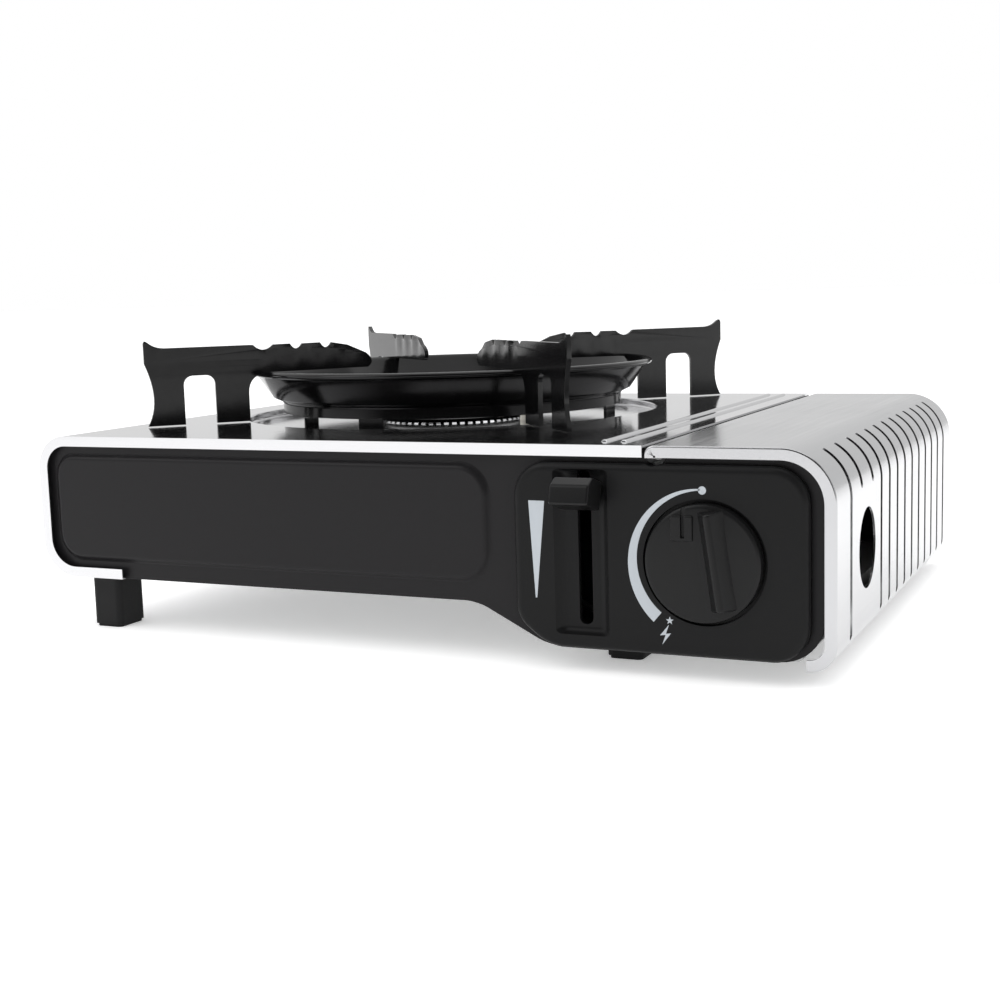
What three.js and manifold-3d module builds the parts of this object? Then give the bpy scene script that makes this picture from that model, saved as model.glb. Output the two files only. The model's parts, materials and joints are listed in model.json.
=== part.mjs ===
// Portable single-burner gas stove: a stainless body with a burner under a lift-off pan support on the
// left, and a cartridge bay under a hinged, slotted lid on the right.
// Frame: millimetres, +X from the burner side to the lid side, +Y from the front panel to the back,
// +Z up. The origin is on the ground, in the middle of the whole outline.
import * as THREE from "three";
import { mergeVertices } from "three/addons/utils/BufferGeometryUtils.js";
import Module from "manifold-3d";

const wasm = await Module();
wasm.setup();

// ---------------------------------------------------------------- driving sizes
const WIDTH = 340; // left side to lid side
const DEPTH = 252; // front rim to back rim
const DECK_TOP = 83; // top plate above the ground
const BURNER_BASE = 23; // underside of the body on the burner side
const BAY_BASE = 8; // underside of the body on the cartridge side
const LID_DROP = 6; // lowest edge of the lid above the ground
const SHEET = 0.8; // pressed steel sheet
const GAP = 0.4; // between pieces that touch
const RUNNING = 0.3; // round a pin or a spindle that turns
const RIM = 3.6; // width of the bright rim round the front and back panels
const IN_SKIN = 0.3; // how far a welded-in flange starts inside the outer skin
const KNOB_REACH = 16; // knob grip ahead of the front rim

const LEFT = -WIDTH / 2;
const RIGHT = WIDTH / 2;
const FRONT = -(DEPTH - KNOB_REACH) / 2; // y of the front rim
const REAR = FRONT + DEPTH;
const fromFront = (distance) => FRONT + distance;
const radians = (degrees) => (degrees * Math.PI) / 180;

// Lid and cartridge bay
const LID_WIDTH = 68.6; // top plate's edge to the lid's side
const LID_EDGE = RIGHT - LID_WIDTH;
const LID_GAP = 0.8;
const LID_ROLL = 3.4; // rolled hinge edge, concentric with the hinge
const LID_CORNER = 19.5;
const LID_FOOT_CORNER = 9.5;
const LID_LIP = 10.5; // how far the lid's lower lip turns in from its side
const CARTRIDGE_RADIUS = 33.5;
const RAIL_SPAN = 18; // cartridge rails either side of its axis
const RAIL_HALF = 1.5;
const DIVIDER_INSET = 3.4; // divider's bay side, in from the top plate's edge

// Vent slots and finger hole in the lid's side, along the depth from the front rim
const SLOT_WIDTH = 3.6;
const SLOT_PITCH = 16.9;
const SLOT_RUN = 10;
const SLOT_FIRST = 22.8;
const SLOT_RUN_FIRST = 78;
const SLOT_BOTTOM = LID_DROP + 7;
const SLOT_REACH = 10; // how far the slots reach over the rounded corner
const SHORT_SLOT_BOTTOM = DECK_TOP - 18.5;
const SHORT_SLOT_OFFSET = 10;
const HOLE_RADIUS = 15;
const HOLE_Y = 51.5;
const HOLE_Z = 41.3;

// Body corners and front step
const TOP_CORNER = 14;
const FOOT_CORNER = 16;
const FLANGE_TAB = 40.5; // how far the bottom flange reaches in from the left side
const STEP_START = RIGHT - 136; // the underside steps down between these two places
const STEP_END = RIGHT - 107;
const STEP_RADIUS = 14;
const HEM_DEPTH = 5;
const RIDGES = [RIGHT - 86.5, RIGHT - 79]; // pressed ridges beside the lid
const RIDGE_WIDTH = 2.4;
const RIDGE_RISE = 0.8;
const RIDGE_INSET = 10;

// Panels, behind the rim
const PANEL_BACK_SET = 3;
const FIELD_RISE = 1.9;
const FIELD_LEFT = LEFT + 6.5;
const FIELD_RIGHT = RIGHT - 129;
const FIELD_TOP = DECK_TOP - 7;
const FIELD_BOTTOM = BURNER_BASE + 6.5;
const PANEL_RIGHT = RIGHT - 4.6;
const PANEL_CORNER = 16;

// Control cover
const COVER_LEFT = RIGHT - 118;
const COVER_RIGHT = RIGHT - 9;
const COVER_TOP = DECK_TOP - 6.4;
const COVER_BOTTOM = BAY_BASE + 0.6;
const COVER_STEP = BAY_BASE + 10.5; // where its left side meets the sloping underside
const COVER_CORNER = 13;
const COVER_PROUD = 2; // front face ahead of the rim
const COVER_WALL = 1.8;
const CHANNEL_LEFT = RIGHT - 104;
const CHANNEL_RIGHT = RIGHT - 79;
const CHANNEL_TOP = DECK_TOP - 8;
const CHANNEL_BOTTOM = BAY_BASE + 5;
const CHANNEL_DEEP = 2.6;
const LEVER_SLOT_WIDTH = 5.2;
const LEVER_SLOT_BOTTOM = BAY_BASE + 9.4;

// Base, in the bay
const BASE_RIGHT = RIGHT - LID_LIP - 2;
const BASE_LIP = 6;
const LEAD_HOLE_Y = 16;
const LEAD_HOLE_Z = 18;

// Knob and gas control
const KNOB_X = RIGHT - 45.6;
const KNOB_Z = 42.6;
const KNOB_RADIUS = 21;
const KNOB_DISC = 5; // disc front ahead of the front rim
const KNOB_ROOM = 1.4; // groove round the knob
const KNOB_WELL = KNOB_RADIUS + KNOB_ROOM;
const KNOB_TURN = 150; // degrees from off to ignition
const GRIP_WIDTH = 12;
const SPINDLE_RADIUS = 3;
const INLET_Z = 45.2;
const REGULATOR_WIDTH = 36;
const REGULATOR_FRONT = 25; // from the front rim
const REGULATOR_BACK = 50;
const REGULATOR_LOW = 30;
const REGULATOR_HIGH = 60;
const BOSS_REACH = 4;
const OUTLET_Z = 44;

// Igniter
const STRIKER_Y = 15;
const STRIKER_STROKE = 3;
const STRIKER_RADIUS = 2.6;
const IGNITER_TOP = 30;
const CAM_RADIUS = 6.5; // where it touches the striker with the knob at rest
const CAM_DWELL = 12; // degrees of even radius past the end of the turn

// Lock lever
const LEVER_X = RIGHT - 90.8;
const LEVER_PIVOT_Y = 66;
const LEVER_PIVOT_Z = 44;
const LEVER_SWING = 17; // above and below the level position, in degrees
const LEVER_PLATE = 1.6;
const CAP_STAND = 5; // back of the cap ahead of the front rim, with the arm level
const LEVER_ARM = LEVER_PIVOT_Y + CAP_STAND;
const CAP_WIDTH = 15;
const CAP_HEIGHT = 10.5;
const CAP_LENGTH = 13;
const PIN_RADIUS = 2;

// Clamp carriage
const CARRIAGE_Y = fromFront(LEVER_PIVOT_Y);
const CARRIAGE_SHEET = 1.6;
const CARRIAGE_LOW = 16;
const CARRIAGE_HIGH = DECK_TOP - 11;
const CARRIAGE_THROAT = 17;
const CRADLE_GAP = 10.4; // carriage to the cartridge rails

// Hinge
const HINGE_PIN = 1.1;
const KNUCKLE_LENGTH = 14;
const KNUCKLE_INSET = 1.5;
const ARM_DROP = 8; // hinge arm below the hinge, clear of the lid's rolled edge
const ARM_SHEET = 1.2;

// Burner, on its own centre
const BURNER_X = LEFT + 127.3;
const BURNER_Y = 142; // from the front rim
const PORT_RING_RADIUS = 35;
const PORT_COUNT = 60;
const PORT_WIDTH = 1.6;
const RING_TOP = DECK_TOP - 3;
const BOWL_RADIUS = 30;
const BOWL_DEEP = 34;
const TUBE_RADIUS = 8;
const TUBE_Z = DECK_TOP - 18;
const TUBE_HOLE_Y = fromFront(46);
const ELECTRODE_OUT = PORT_RING_RADIUS + 8.2; // from the burner's axis, in the bowl's flange
const ELECTRODE_TURN = 23.8; // degrees round the burner from the mixing tube

// Drip recess in the top plate, round about the burner
const RECESS_RADIUS = 96;
const RECESS_DEEP = 3.5;

// Pan support
const FIN_SHEET = 2;
const FIN_REACH = 142.8;
const FIN_TIP = 38; // tip of the horn above the top plate
const FIN_TOP = 34.6;
const FIN_UNDER = 22;
const LEG_INNER = RECESS_RADIUS + 1; // the legs stand on the top plate, outside the recess
const LEG_OUTER = 126;
const LEG_WIDTH = 15;
const TOOTH_PLACES = [89.4, 74.4, 62.2];
const TOOTH_WIDTH = 7.7;
const TOOTH_DEEP = 4;
const DISH_RADIUS = 94.3;
const DISH_RIM = 22.8; // rim above the top plate
const DISH_SKIRT = 79.5;
const DISH_HOLE = 52;
const DISH_SHEET = 1.2;
const DISH_FOOT_WIDTH = 12;

// Feet
const FOOT_WIDTH = 14.5;
const FOOT_LONG = 17;
const FOOT_TAPER = 0.8;
const FOOT_FRONT = 8; // from the front rim
const FOOT_RIGHT_FRONT = 21;
const FOOT_LEFT_X = LEFT + 24.5;
const FOOT_RIGHT_X = RIGHT - 84;

const HINGE_X = LID_EDGE + LID_GAP + LID_ROLL;
const HINGE_Z = DECK_TOP - LID_ROLL;
const DIVIDER_X = LID_EDGE - DIVIDER_INSET;
const UNDER_DECK = DECK_TOP - SHEET;
const CARTRIDGE_X = (DIVIDER_X + RIGHT - SHEET) / 2 + 1.2;
const RECESS_FLOOR = DECK_TOP - RECESS_DEEP;
const FLANGE_Z = RECESS_FLOOR - SHEET - GAP;
const BAY_FLOOR = BAY_BASE + 2 * GAP + SHEET;
const REGULATOR = {
  x0: CARTRIDGE_X - 20.8, x1: CARTRIDGE_X - 20.8 + REGULATOR_WIDTH,
  y0: fromFront(REGULATOR_FRONT), y1: fromFront(REGULATOR_BACK),
  z0: REGULATOR_LOW, z1: REGULATOR_HIGH,
};
const KNUCKLE = LID_ROLL - SHEET - GAP;
const RAIL_TOP = INLET_Z - Math.sqrt(CARTRIDGE_RADIUS ** 2 - (RAIL_SPAN + RAIL_HALF) ** 2) - GAP;

// ---------------------------------------------------------------- solids
const AXES = {
  x: new THREE.Matrix4().makeBasis(
    new THREE.Vector3(0, 1, 0), new THREE.Vector3(0, 0, 1), new THREE.Vector3(1, 0, 0)),
  y: new THREE.Matrix4().makeBasis(
    new THREE.Vector3(1, 0, 0), new THREE.Vector3(0, 0, 1), new THREE.Vector3(0, -1, 0)),
  z: new THREE.Matrix4(),
};

function solid(geometry) {
  const plain = geometry.clone();
  plain.deleteAttribute("normal");
  plain.deleteAttribute("uv");
  const merged = mergeVertices(plain, 1e-4);
  return new wasm.Manifold(new wasm.Mesh({
    numProp: 3,
    vertProperties: new Float32Array(merged.attributes.position.array),
    triVerts: new Uint32Array(merged.index.array),
  }));
}

// A shape pushed along one axis between two places. For x the shape is drawn in (y, z), for y in
// (x, z) and for z in (x, y).
function prism(shape, axis, from, to, curveSegments = 3) {
  const geometry = new THREE.ExtrudeGeometry(
    shape, { depth: to - from, bevelEnabled: false, curveSegments });
  geometry.applyMatrix4(AXES[axis]);
  const start = axis === "y" ? to : from;
  geometry.translate(axis === "x" ? start : 0, axis === "y" ? start : 0, axis === "z" ? start : 0);
  return solid(geometry);
}

function block(x0, x1, y0, y1, z0, z1) {
  const geometry = new THREE.BoxGeometry(x1 - x0, y1 - y0, z1 - z0);
  geometry.translate((x0 + x1) / 2, (y0 + y1) / 2, (z0 + z1) / 2);
  return solid(geometry);
}

// A round bar along one axis between two places.
function bar(axis, centre, radius, from, to, sides = 20) {
  const circle = new THREE.Shape().absarc(centre[0], centre[1], radius, 0, 2 * Math.PI, false);
  return prism(circle, axis, from, to, sides / 2);
}

// A profile of (radius, height) turned about a vertical axis.
function turned(profile, x, y, segments = 36) {
  const points = profile.map(([r, z]) => new THREE.Vector2(r, z));
  const geometry = new THREE.LatheGeometry(points, segments);
  geometry.rotateX(Math.PI / 2);
  geometry.translate(x, y, 0);
  const made = solid(geometry);
  return made.volume() < 0 ? solid(flipped(geometry)) : made;
}

function flipped(geometry) {
  const copy = geometry.clone();
  const index = copy.index.array;
  for (let i = 0; i < index.length; i += 3) [index[i], index[i + 1]] = [index[i + 1], index[i]];
  return copy;
}

// A closed outline from corners [u, v, radius]: straight sides and round corners.
function outline(corners, shape = new THREE.Shape()) {
  const count = corners.length;
  corners.forEach(([u, v, radius = 0], i) => {
    const before = corners[(i + count - 1) % count];
    const after = corners[(i + 1) % count];
    const back = new THREE.Vector2(before[0] - u, before[1] - v).normalize();
    const ahead = new THREE.Vector2(after[0] - u, after[1] - v).normalize();
    const half = Math.acos(THREE.MathUtils.clamp(back.dot(ahead), -1, 1)) / 2;
    const cut = radius > 0 ? radius / Math.tan(half) : 0;
    const start = [u + back.x * cut, v + back.y * cut];
    if (i === 0) shape.moveTo(...start);
    else shape.lineTo(...start);
    if (radius <= 0) return;
    const middle = back.clone().add(ahead).normalize().multiplyScalar(radius / Math.sin(half));
    const centre = [u + middle.x, v + middle.y];
    const from = Math.atan2(start[1] - centre[1], start[0] - centre[0]);
    const to = Math.atan2(v + ahead.y * cut - centre[1], u + ahead.x * cut - centre[0]);
    shape.absarc(...centre, radius, from, to, back.cross(ahead) > 0);
  });
  shape.closePath();
  return shape;
}

// The corners of a path moved to its right-hand side by a distance, with their radii to suit.
function moved(corners, distance, closed = false) {
  const count = corners.length;
  const direction = (a, b) => new THREE.Vector2(b[0] - a[0], b[1] - a[1]).normalize();
  return corners.map((here, i) => {
    const hasBefore = closed || i > 0;
    const hasAfter = closed || i < count - 1;
    const after = corners[(i + 1) % count];
    const into = hasBefore ? direction(corners[(i + count - 1) % count], here) : direction(here, after);
    const out = hasAfter ? direction(here, after) : into;
    const share = distance / (1 + into.dot(out));
    const turn = Math.sign(into.cross(out));
    const radius = here[2] ? Math.max(here[2] + turn * distance, 0) : 0;
    return [here[0] + (into.y + out.y) * share, here[1] - (into.x + out.x) * share, radius];
  });
}

// A strip of sheet that follows a path of corners, its thickness on the path's right-hand side.
function strip(corners, thickness) {
  return outline([...corners, ...moved(corners, thickness).reverse()]);
}

function rectangle(u0, u1, v0, v1, radius = 0) {
  return outline([[u0, v0, radius], [u1, v0, radius], [u1, v1, radius], [u0, v1, radius]]);
}

function joined(parts) {
  return parts.reduce((whole, part) => whole.add(part));
}

// ---------------------------------------------------------------- finishes
const FINISH = {
  stainless: { color: 0xb9b9bc, metalness: 1, roughness: 0.25 },
  zinc: { color: 0x9fa2a3, metalness: 0.9, roughness: 0.5 },
  aluminium: { color: 0xb4b4b2, metalness: 0.9, roughness: 0.45 },
  brass: { color: 0xb08d45, metalness: 1, roughness: 0.35 },
  blackPaint: { color: 0x202021, metalness: 0.1, roughness: 0.45 },
  enamel: { color: 0x0b0b0c, metalness: 0.1, roughness: 0.12 },
  blackPlastic: { color: 0x1c1c1d, metalness: 0, roughness: 0.5 },
  rubber: { color: 0x18181a, metalness: 0, roughness: 0.8 },
  ceramic: { color: 0xe8e4da, metalness: 0, roughness: 0.4 },
};

const stove = new THREE.Group();

function addPiece(name, manifold, finish, parent = stove) {
  const { vertProperties, triVerts } = manifold.getMesh();
  const geometry = new THREE.BufferGeometry();
  geometry.setAttribute("position", new THREE.BufferAttribute(new Float32Array(vertProperties), 3));
  geometry.setIndex(new THREE.BufferAttribute(new Uint32Array(triVerts), 1));
  const mesh = new THREE.Mesh(geometry, new THREE.MeshStandardMaterial(FINISH[finish]));
  mesh.name = name;
  parent.add(mesh);
}

// ---------------------------------------------------------------- body sheet
// Path of the body sheet, from the end of its bottom flange round the left side to the lid.
const shellPath = [
  [LEFT + FLANGE_TAB, BURNER_BASE],
  [LEFT, BURNER_BASE, FOOT_CORNER],
  [LEFT, DECK_TOP, TOP_CORNER],
  [LID_EDGE, DECK_TOP],
];

function topShell() {
  const skin = prism(strip(shellPath, SHEET), "y", FRONT, REAR, 4);
  const rimShape = outline([
    ...moved(shellPath, IN_SKIN).map(([x, z, radius], i) => [x, z, i === 0 ? RIM * 0.4 : radius]),
    [LID_EDGE, DECK_TOP - RIM, 2],
    [LEFT + RIM, DECK_TOP - RIM, TOP_CORNER - RIM],
    [LEFT + RIM, BURNER_BASE + RIM, FOOT_CORNER - RIM],
    [LEFT + FLANGE_TAB, BURNER_BASE + RIM, RIM * 0.4],
  ]);
  const hem = block(
    LID_EDGE - SHEET, LID_EDGE, FRONT + HEM_DEPTH, REAR - HEM_DEPTH, DECK_TOP - HEM_DEPTH, DECK_TOP);
  const pan = bar("z", burnerCentre, RECESS_RADIUS + SHEET, RECESS_FLOOR - SHEET, DECK_TOP, 96);
  const well = bar("z", burnerCentre, RECESS_RADIUS, RECESS_FLOOR, DECK_TOP + 1, 96);
  const throat = bar("z", burnerCentre, PORT_RING_RADIUS + 2,
    RECESS_FLOOR - 2 * SHEET, DECK_TOP, 48);
  const electrodeHole = bar("z", electrodePlace, 3.6, RECESS_FLOOR - 2 * SHEET, DECK_TOP);
  const ridges = RIDGES.map((x) => block(
    x - RIDGE_WIDTH / 2, x + RIDGE_WIDTH / 2, fromFront(RIDGE_INSET), REAR - RIDGE_INSET,
    DECK_TOP - SHEET / 2, DECK_TOP + RIDGE_RISE));
  return joined([
    skin,
    prism(rimShape, "y", FRONT, FRONT + SHEET, 4),
    prism(rimShape, "y", REAR - SHEET, REAR, 4),
    hem,
    pan,
    ...ridges,
  ]).subtract(well).subtract(throat).subtract(electrodeHole);
}

// ---------------------------------------------------------------- panels
// Outer edge of the front and back panels, drawn in (x, z) from the lower left, anticlockwise.
const panelEdge = [
  [LEFT + SHEET + GAP, BURNER_BASE + SHEET + GAP, FOOT_CORNER - SHEET - GAP],
  [LEFT + FLANGE_TAB + 1, BURNER_BASE + SHEET + GAP],
  [LEFT + FLANGE_TAB + 1, BURNER_BASE - 0.2],
  [STEP_START, BURNER_BASE - 0.2, STEP_RADIUS],
  [STEP_END, BAY_BASE, STEP_RADIUS],
  [PANEL_RIGHT, BAY_BASE, PANEL_CORNER],
  [PANEL_RIGHT, UNDER_DECK - GAP, PANEL_CORNER],
  [LEFT + SHEET + GAP, UNDER_DECK - GAP, TOP_CORNER - SHEET - GAP],
];

// Room for the lid's rolled edge to turn, cut from what stands in front of or behind it.
function hingeRoom(front) {
  return bar("y", hingeAxis, LID_ROLL + GAP, front - 5, front + 5)
    .add(block(LID_EDGE - 2, HINGE_X, front - 5, front + 5, HINGE_Z - 2, DECK_TOP));
}

// Pressed panel: a plate with a raised field, hollow behind.
function pressedPanel(front, outward) {
  const field = [
    [FIELD_LEFT, FIELD_BOTTOM, 12], [FIELD_RIGHT, FIELD_BOTTOM, 13],
    [FIELD_RIGHT, FIELD_TOP, 13], [FIELD_LEFT, FIELD_TOP, 10],
  ];
  const face = front - outward * FIELD_RISE;
  const span = (a, b) => [Math.min(a, b), Math.max(a, b)];
  const back = front + outward * SHEET;
  return prism(outline(panelEdge), "y", ...span(front, back), 4)
    .add(prism(outline(field), "y", ...span(face, front + outward * SHEET * 0.5)))
    .subtract(prism(outline(moved(field, -1.4, true)), "y",
      ...span(face + outward * SHEET, back + outward)))
    .subtract(hingeRoom(front));
}

function frontPanel() {
  const face = FRONT + PANEL_BACK_SET;
  const leverSlot = rectangle(LEVER_X - 3, LEVER_X + 3, CHANNEL_BOTTOM + 3, CHANNEL_TOP - 1);
  return pressedPanel(face, 1)
    .subtract(prism(leverSlot, "y", face - 5, face + 5))
    .subtract(bar("y", [KNOB_X, KNOB_Z], SPINDLE_RADIUS + 5, face - 5, face + 5));
}

function rearPanel() {
  return pressedPanel(REAR - PANEL_BACK_SET, -1);
}

// Moulded cover round the lever and the knob.
function controlCover() {
  const back = FRONT + PANEL_BACK_SET - GAP;
  const face = FRONT - COVER_PROUD;
  const edge = [
    [COVER_LEFT, COVER_STEP, 8],
    [STEP_END + 1.5, COVER_BOTTOM, STEP_RADIUS],
    [COVER_RIGHT, COVER_BOTTOM, COVER_CORNER],
    [COVER_RIGHT, COVER_TOP, COVER_CORNER],
    [COVER_LEFT, COVER_TOP, COVER_CORNER],
  ];
  const channel = rectangle(CHANNEL_LEFT, CHANNEL_RIGHT, CHANNEL_BOTTOM, CHANNEL_TOP, 4);
  const channelFloor = rectangle(
    CHANNEL_LEFT - COVER_WALL, CHANNEL_RIGHT + COVER_WALL,
    CHANNEL_BOTTOM - COVER_WALL, CHANNEL_TOP + 0.8, 4);
  const slot = rectangle(
    LEVER_X - LEVER_SLOT_WIDTH / 2, LEVER_X + LEVER_SLOT_WIDTH / 2,
    LEVER_SLOT_BOTTOM, CHANNEL_TOP - 1, 2.5);
  const floor = face + CHANNEL_DEEP;
  const centre = [KNOB_X, KNOB_Z];
  return prism(outline(edge), "y", face, back)
    .subtract(prism(outline(moved(edge, -COVER_WALL, true)), "y", face + COVER_WALL, back + 1))
    .add(prism(channelFloor, "y", face + 0.5, back - 0.2))
    .subtract(prism(channel, "y", face - 1, floor))
    .subtract(prism(slot, "y", face - 1, back + 1))
    .add(bar("y", centre, KNOB_WELL + COVER_WALL, face + 0.5, back - 0.2, 40))
    .subtract(bar("y", centre, KNOB_WELL, face - 1, floor, 40))
    .subtract(bar("y", centre, SPINDLE_RADIUS + 1, face - 1, back + 1))
    .subtract(hingeRoom(face));
}

// ---------------------------------------------------------------- base, divider and bay
const insideFront = FRONT + PANEL_BACK_SET + SHEET + GAP;
const insideRear = REAR - PANEL_BACK_SET - SHEET - GAP;
const baseLevel = BURNER_BASE + SHEET + GAP;

function basePan() {
  const path = [
    [LEFT + FOOT_CORNER + 1, baseLevel],
    [STEP_START + 1, baseLevel, STEP_RADIUS],
    [STEP_END + 1, BAY_BASE + GAP, STEP_RADIUS],
    [BASE_RIGHT, BAY_BASE + GAP, 2],
    [BASE_RIGHT, BAY_BASE + GAP + BASE_LIP],
  ];
  return prism(outline([...moved(path, -SHEET), ...path.reverse()]), "y", insideFront, insideRear);
}

function dividerWall() {
  const wall = block(DIVIDER_X - SHEET, DIVIDER_X, insideFront, insideRear,
    BAY_FLOOR, UNDER_DECK - GAP);
  const foot = block(DIVIDER_X - 8, DIVIDER_X, insideFront, insideRear,
    BAY_FLOOR, BAY_FLOOR + SHEET);
  const tubeHole = bar("x", [TUBE_HOLE_Y - 10, TUBE_Z - 4], 8, DIVIDER_X - 3, DIVIDER_X + 3);
  const leverWindow = block(DIVIDER_X - 3, DIVIDER_X + 3,
    CARRIAGE_Y - 10, CARRIAGE_Y + 8, LEVER_PIVOT_Z + 4, LEVER_PIVOT_Z + 15);
  const leadHole = bar(
    "x", [fromFront(LEAD_HOLE_Y), LEAD_HOLE_Z], 4, DIVIDER_X - 3, DIVIDER_X + 3);
  return wall.add(foot).subtract(tubeHole).subtract(leverWindow).subtract(leadHole);
}

// Cartridge rest: a shallow tray with two raised rails.
function cartridgeCradle() {
  const from = CARRIAGE_Y + CARRIAGE_SHEET + CRADLE_GAP;
  const to = insideRear - 4;
  const plate = block(CARTRIDGE_X - 22, CARTRIDGE_X + 20, from, to, BAY_FLOOR, BAY_FLOOR + SHEET);
  const rails = [-1, 1].map((side) => block(
    CARTRIDGE_X + side * RAIL_SPAN - RAIL_HALF, CARTRIDGE_X + side * RAIL_SPAN + RAIL_HALF,
    from, to, BAY_FLOOR, RAIL_TOP));
  return plate.add(joined(rails));
}

// ---------------------------------------------------------------- gas control
function regulatorBody() {
  const { x0, x1, y0, y1, z0, z1 } = REGULATOR;
  const caseShape = rectangle(x0, x1, z0, z1, 6);
  const boss = bar("y", [CARTRIDGE_X, INLET_Z], 8, y1 - 1, y1 + BOSS_REACH);
  const capRing = bar("z", [(x0 + x1) / 2, (y0 + y1) / 2], 11, z1 - 1, z1 + 4, 32);
  const outlet = bar("x", [TUBE_HOLE_Y - 8, OUTLET_Z], 4.5, x0 - 5, x0 + 1);
  return joined([prism(caseShape, "y", y0, y1), boss, capRing, outlet])
    .subtract(bar("y", [KNOB_X, KNOB_Z], SPINDLE_RADIUS + RUNNING, y0 - 1, y0 + 8))
    .subtract(bar("y", [CARTRIDGE_X, INLET_Z], 3, y1 - 4, y1 + BOSS_REACH + 1))
    .subtract(bar("x", [TUBE_HOLE_Y - 8, OUTLET_Z], 2.6, x0 - 6, x0 - 1));
}

function regulatorBracket() {
  const { x0, x1, y0, y1, z0 } = REGULATOR;
  const upright = block(x0 + 3, x1 - 3, y1 - 3, y1 - 3 + SHEET, BAY_FLOOR, z0 - GAP);
  const foot = block(x0 + 3, x1 - 3, y1 - 15, y1 - 3 + SHEET, BAY_FLOOR, BAY_FLOOR + SHEET);
  const shelf = block(x0 + 3, x1 - 3, y0 + 2, y1 - 3 + SHEET, z0 - GAP - SHEET, z0 - GAP);
  const tongue = block(x1 - 3, x1 + 12, y1 - 14, y1 - 3 + SHEET, z0 - GAP - SHEET, z0 - GAP);
  return joined([upright, foot, shelf, tongue]);
}

function inletSeal() {
  const at = [CARTRIDGE_X, INLET_Z];
  const from = REGULATOR.y1 + BOSS_REACH + GAP;
  return bar("y", at, 5.5, from, from + 2).subtract(bar("y", at, 2.6, from - 1, from + 3));
}

const spindleFront = FRONT - KNOB_DISC + 2.5;

function valveSpindle() {
  return bar("y", [KNOB_X, KNOB_Z], SPINDLE_RADIUS, spindleFront, REGULATOR.y0 + 7);
}

// Spiral cam on the spindle. Its radius grows evenly with the knob's turn, so it presses the striker
// that stands under it by the same amount for each degree.
function ignitionCam() {
  const from = fromFront(STRIKER_Y - 2);
  const steps = 15;
  const spiral = new THREE.Shape();
  for (let i = 0; i <= steps; i++) {
    const angle = radians(270 - (KNOB_TURN * i) / steps);
    const radius = CAM_RADIUS + (STRIKER_STROKE * i) / steps;
    const point = [KNOB_X + radius * Math.cos(angle), KNOB_Z + radius * Math.sin(angle)];
    if (i === 0) spiral.moveTo(...point);
    else spiral.lineTo(...point);
  }
  const after = radians(270 - KNOB_TURN - CAM_DWELL);
  const end = CAM_RADIUS + STRIKER_STROKE;
  spiral.lineTo(KNOB_X + end * Math.cos(after), KNOB_Z + end * Math.sin(after));
  spiral.lineTo(KNOB_X + CAM_RADIUS * Math.cos(after - 0.5), KNOB_Z + CAM_RADIUS * Math.sin(after - 0.5));
  spiral.absarc(KNOB_X, KNOB_Z, CAM_RADIUS, after - 0.5, -Math.PI / 2, true);
  spiral.closePath();
  return prism(spiral, "y", from, from + 4)
    .subtract(bar("y", [KNOB_X, KNOB_Z], SPINDLE_RADIUS + GAP, from - 1, from + 5));
}

function knob() {
  const back = FRONT - COVER_PROUD + CHANNEL_DEEP - GAP - 0.6;
  const disc = bar("y", [KNOB_X, KNOB_Z], KNOB_RADIUS, FRONT - KNOB_DISC, back, 40);
  const grip = rectangle(
    KNOB_X - GRIP_WIDTH / 2, KNOB_X + GRIP_WIDTH / 2,
    KNOB_Z - KNOB_RADIUS + 1.5, KNOB_Z + KNOB_RADIUS - 1.5, 5);
  return disc
    .add(prism(grip, "y", FRONT - KNOB_REACH, FRONT - KNOB_DISC + 1))
    .subtract(bar("y", [KNOB_X, KNOB_Z], SPINDLE_RADIUS + GAP, spindleFront - GAP, back + 1));
}

const strikerPlace = [KNOB_X, fromFront(STRIKER_Y)];
const strikerTop = KNOB_Z - CAM_RADIUS - RUNNING;

function piezoIgniter() {
  return bar("z", strikerPlace, 5.5, BAY_FLOOR, IGNITER_TOP)
    .subtract(bar("z", strikerPlace, STRIKER_RADIUS + RUNNING, IGNITER_TOP - 10, IGNITER_TOP + 1));
}

function igniterStriker() {
  return bar("z", strikerPlace, STRIKER_RADIUS, IGNITER_TOP - 6, strikerTop);
}

// ---------------------------------------------------------------- burner
const burnerCentre = [BURNER_X, fromFront(BURNER_Y)];

// The mixing tube runs level from the divider to the burner bowl.
const tubeStart = new THREE.Vector3(DIVIDER_X - 14, TUBE_HOLE_Y, TUBE_Z);
const tubeEnd = new THREE.Vector3(burnerCentre[0], burnerCentre[1], TUBE_Z);
const tubeLine = tubeEnd.clone().sub(tubeStart);

// The electrode stands beside the ring, turned clear of the tube.
const electrodeAngle = Math.atan2(-tubeLine.y, -tubeLine.x) + radians(ELECTRODE_TURN);
const electrodePlace = [
  burnerCentre[0] + ELECTRODE_OUT * Math.cos(electrodeAngle),
  burnerCentre[1] + ELECTRODE_OUT * Math.sin(electrodeAngle),
];

function alongTube(from, to, radius, sides = 24) {
  const geometry = new THREE.CylinderGeometry(radius, radius, to - from, sides);
  geometry.rotateZ(-Math.PI / 2);
  geometry.translate((from + to) / 2, 0, 0);
  geometry.rotateZ(Math.atan2(tubeLine.y, tubeLine.x));
  geometry.translate(tubeStart.x, tubeStart.y, tubeStart.z);
  return solid(geometry);
}

const TUBE_LENGTH = tubeLine.length() - BOWL_RADIUS;

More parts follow.
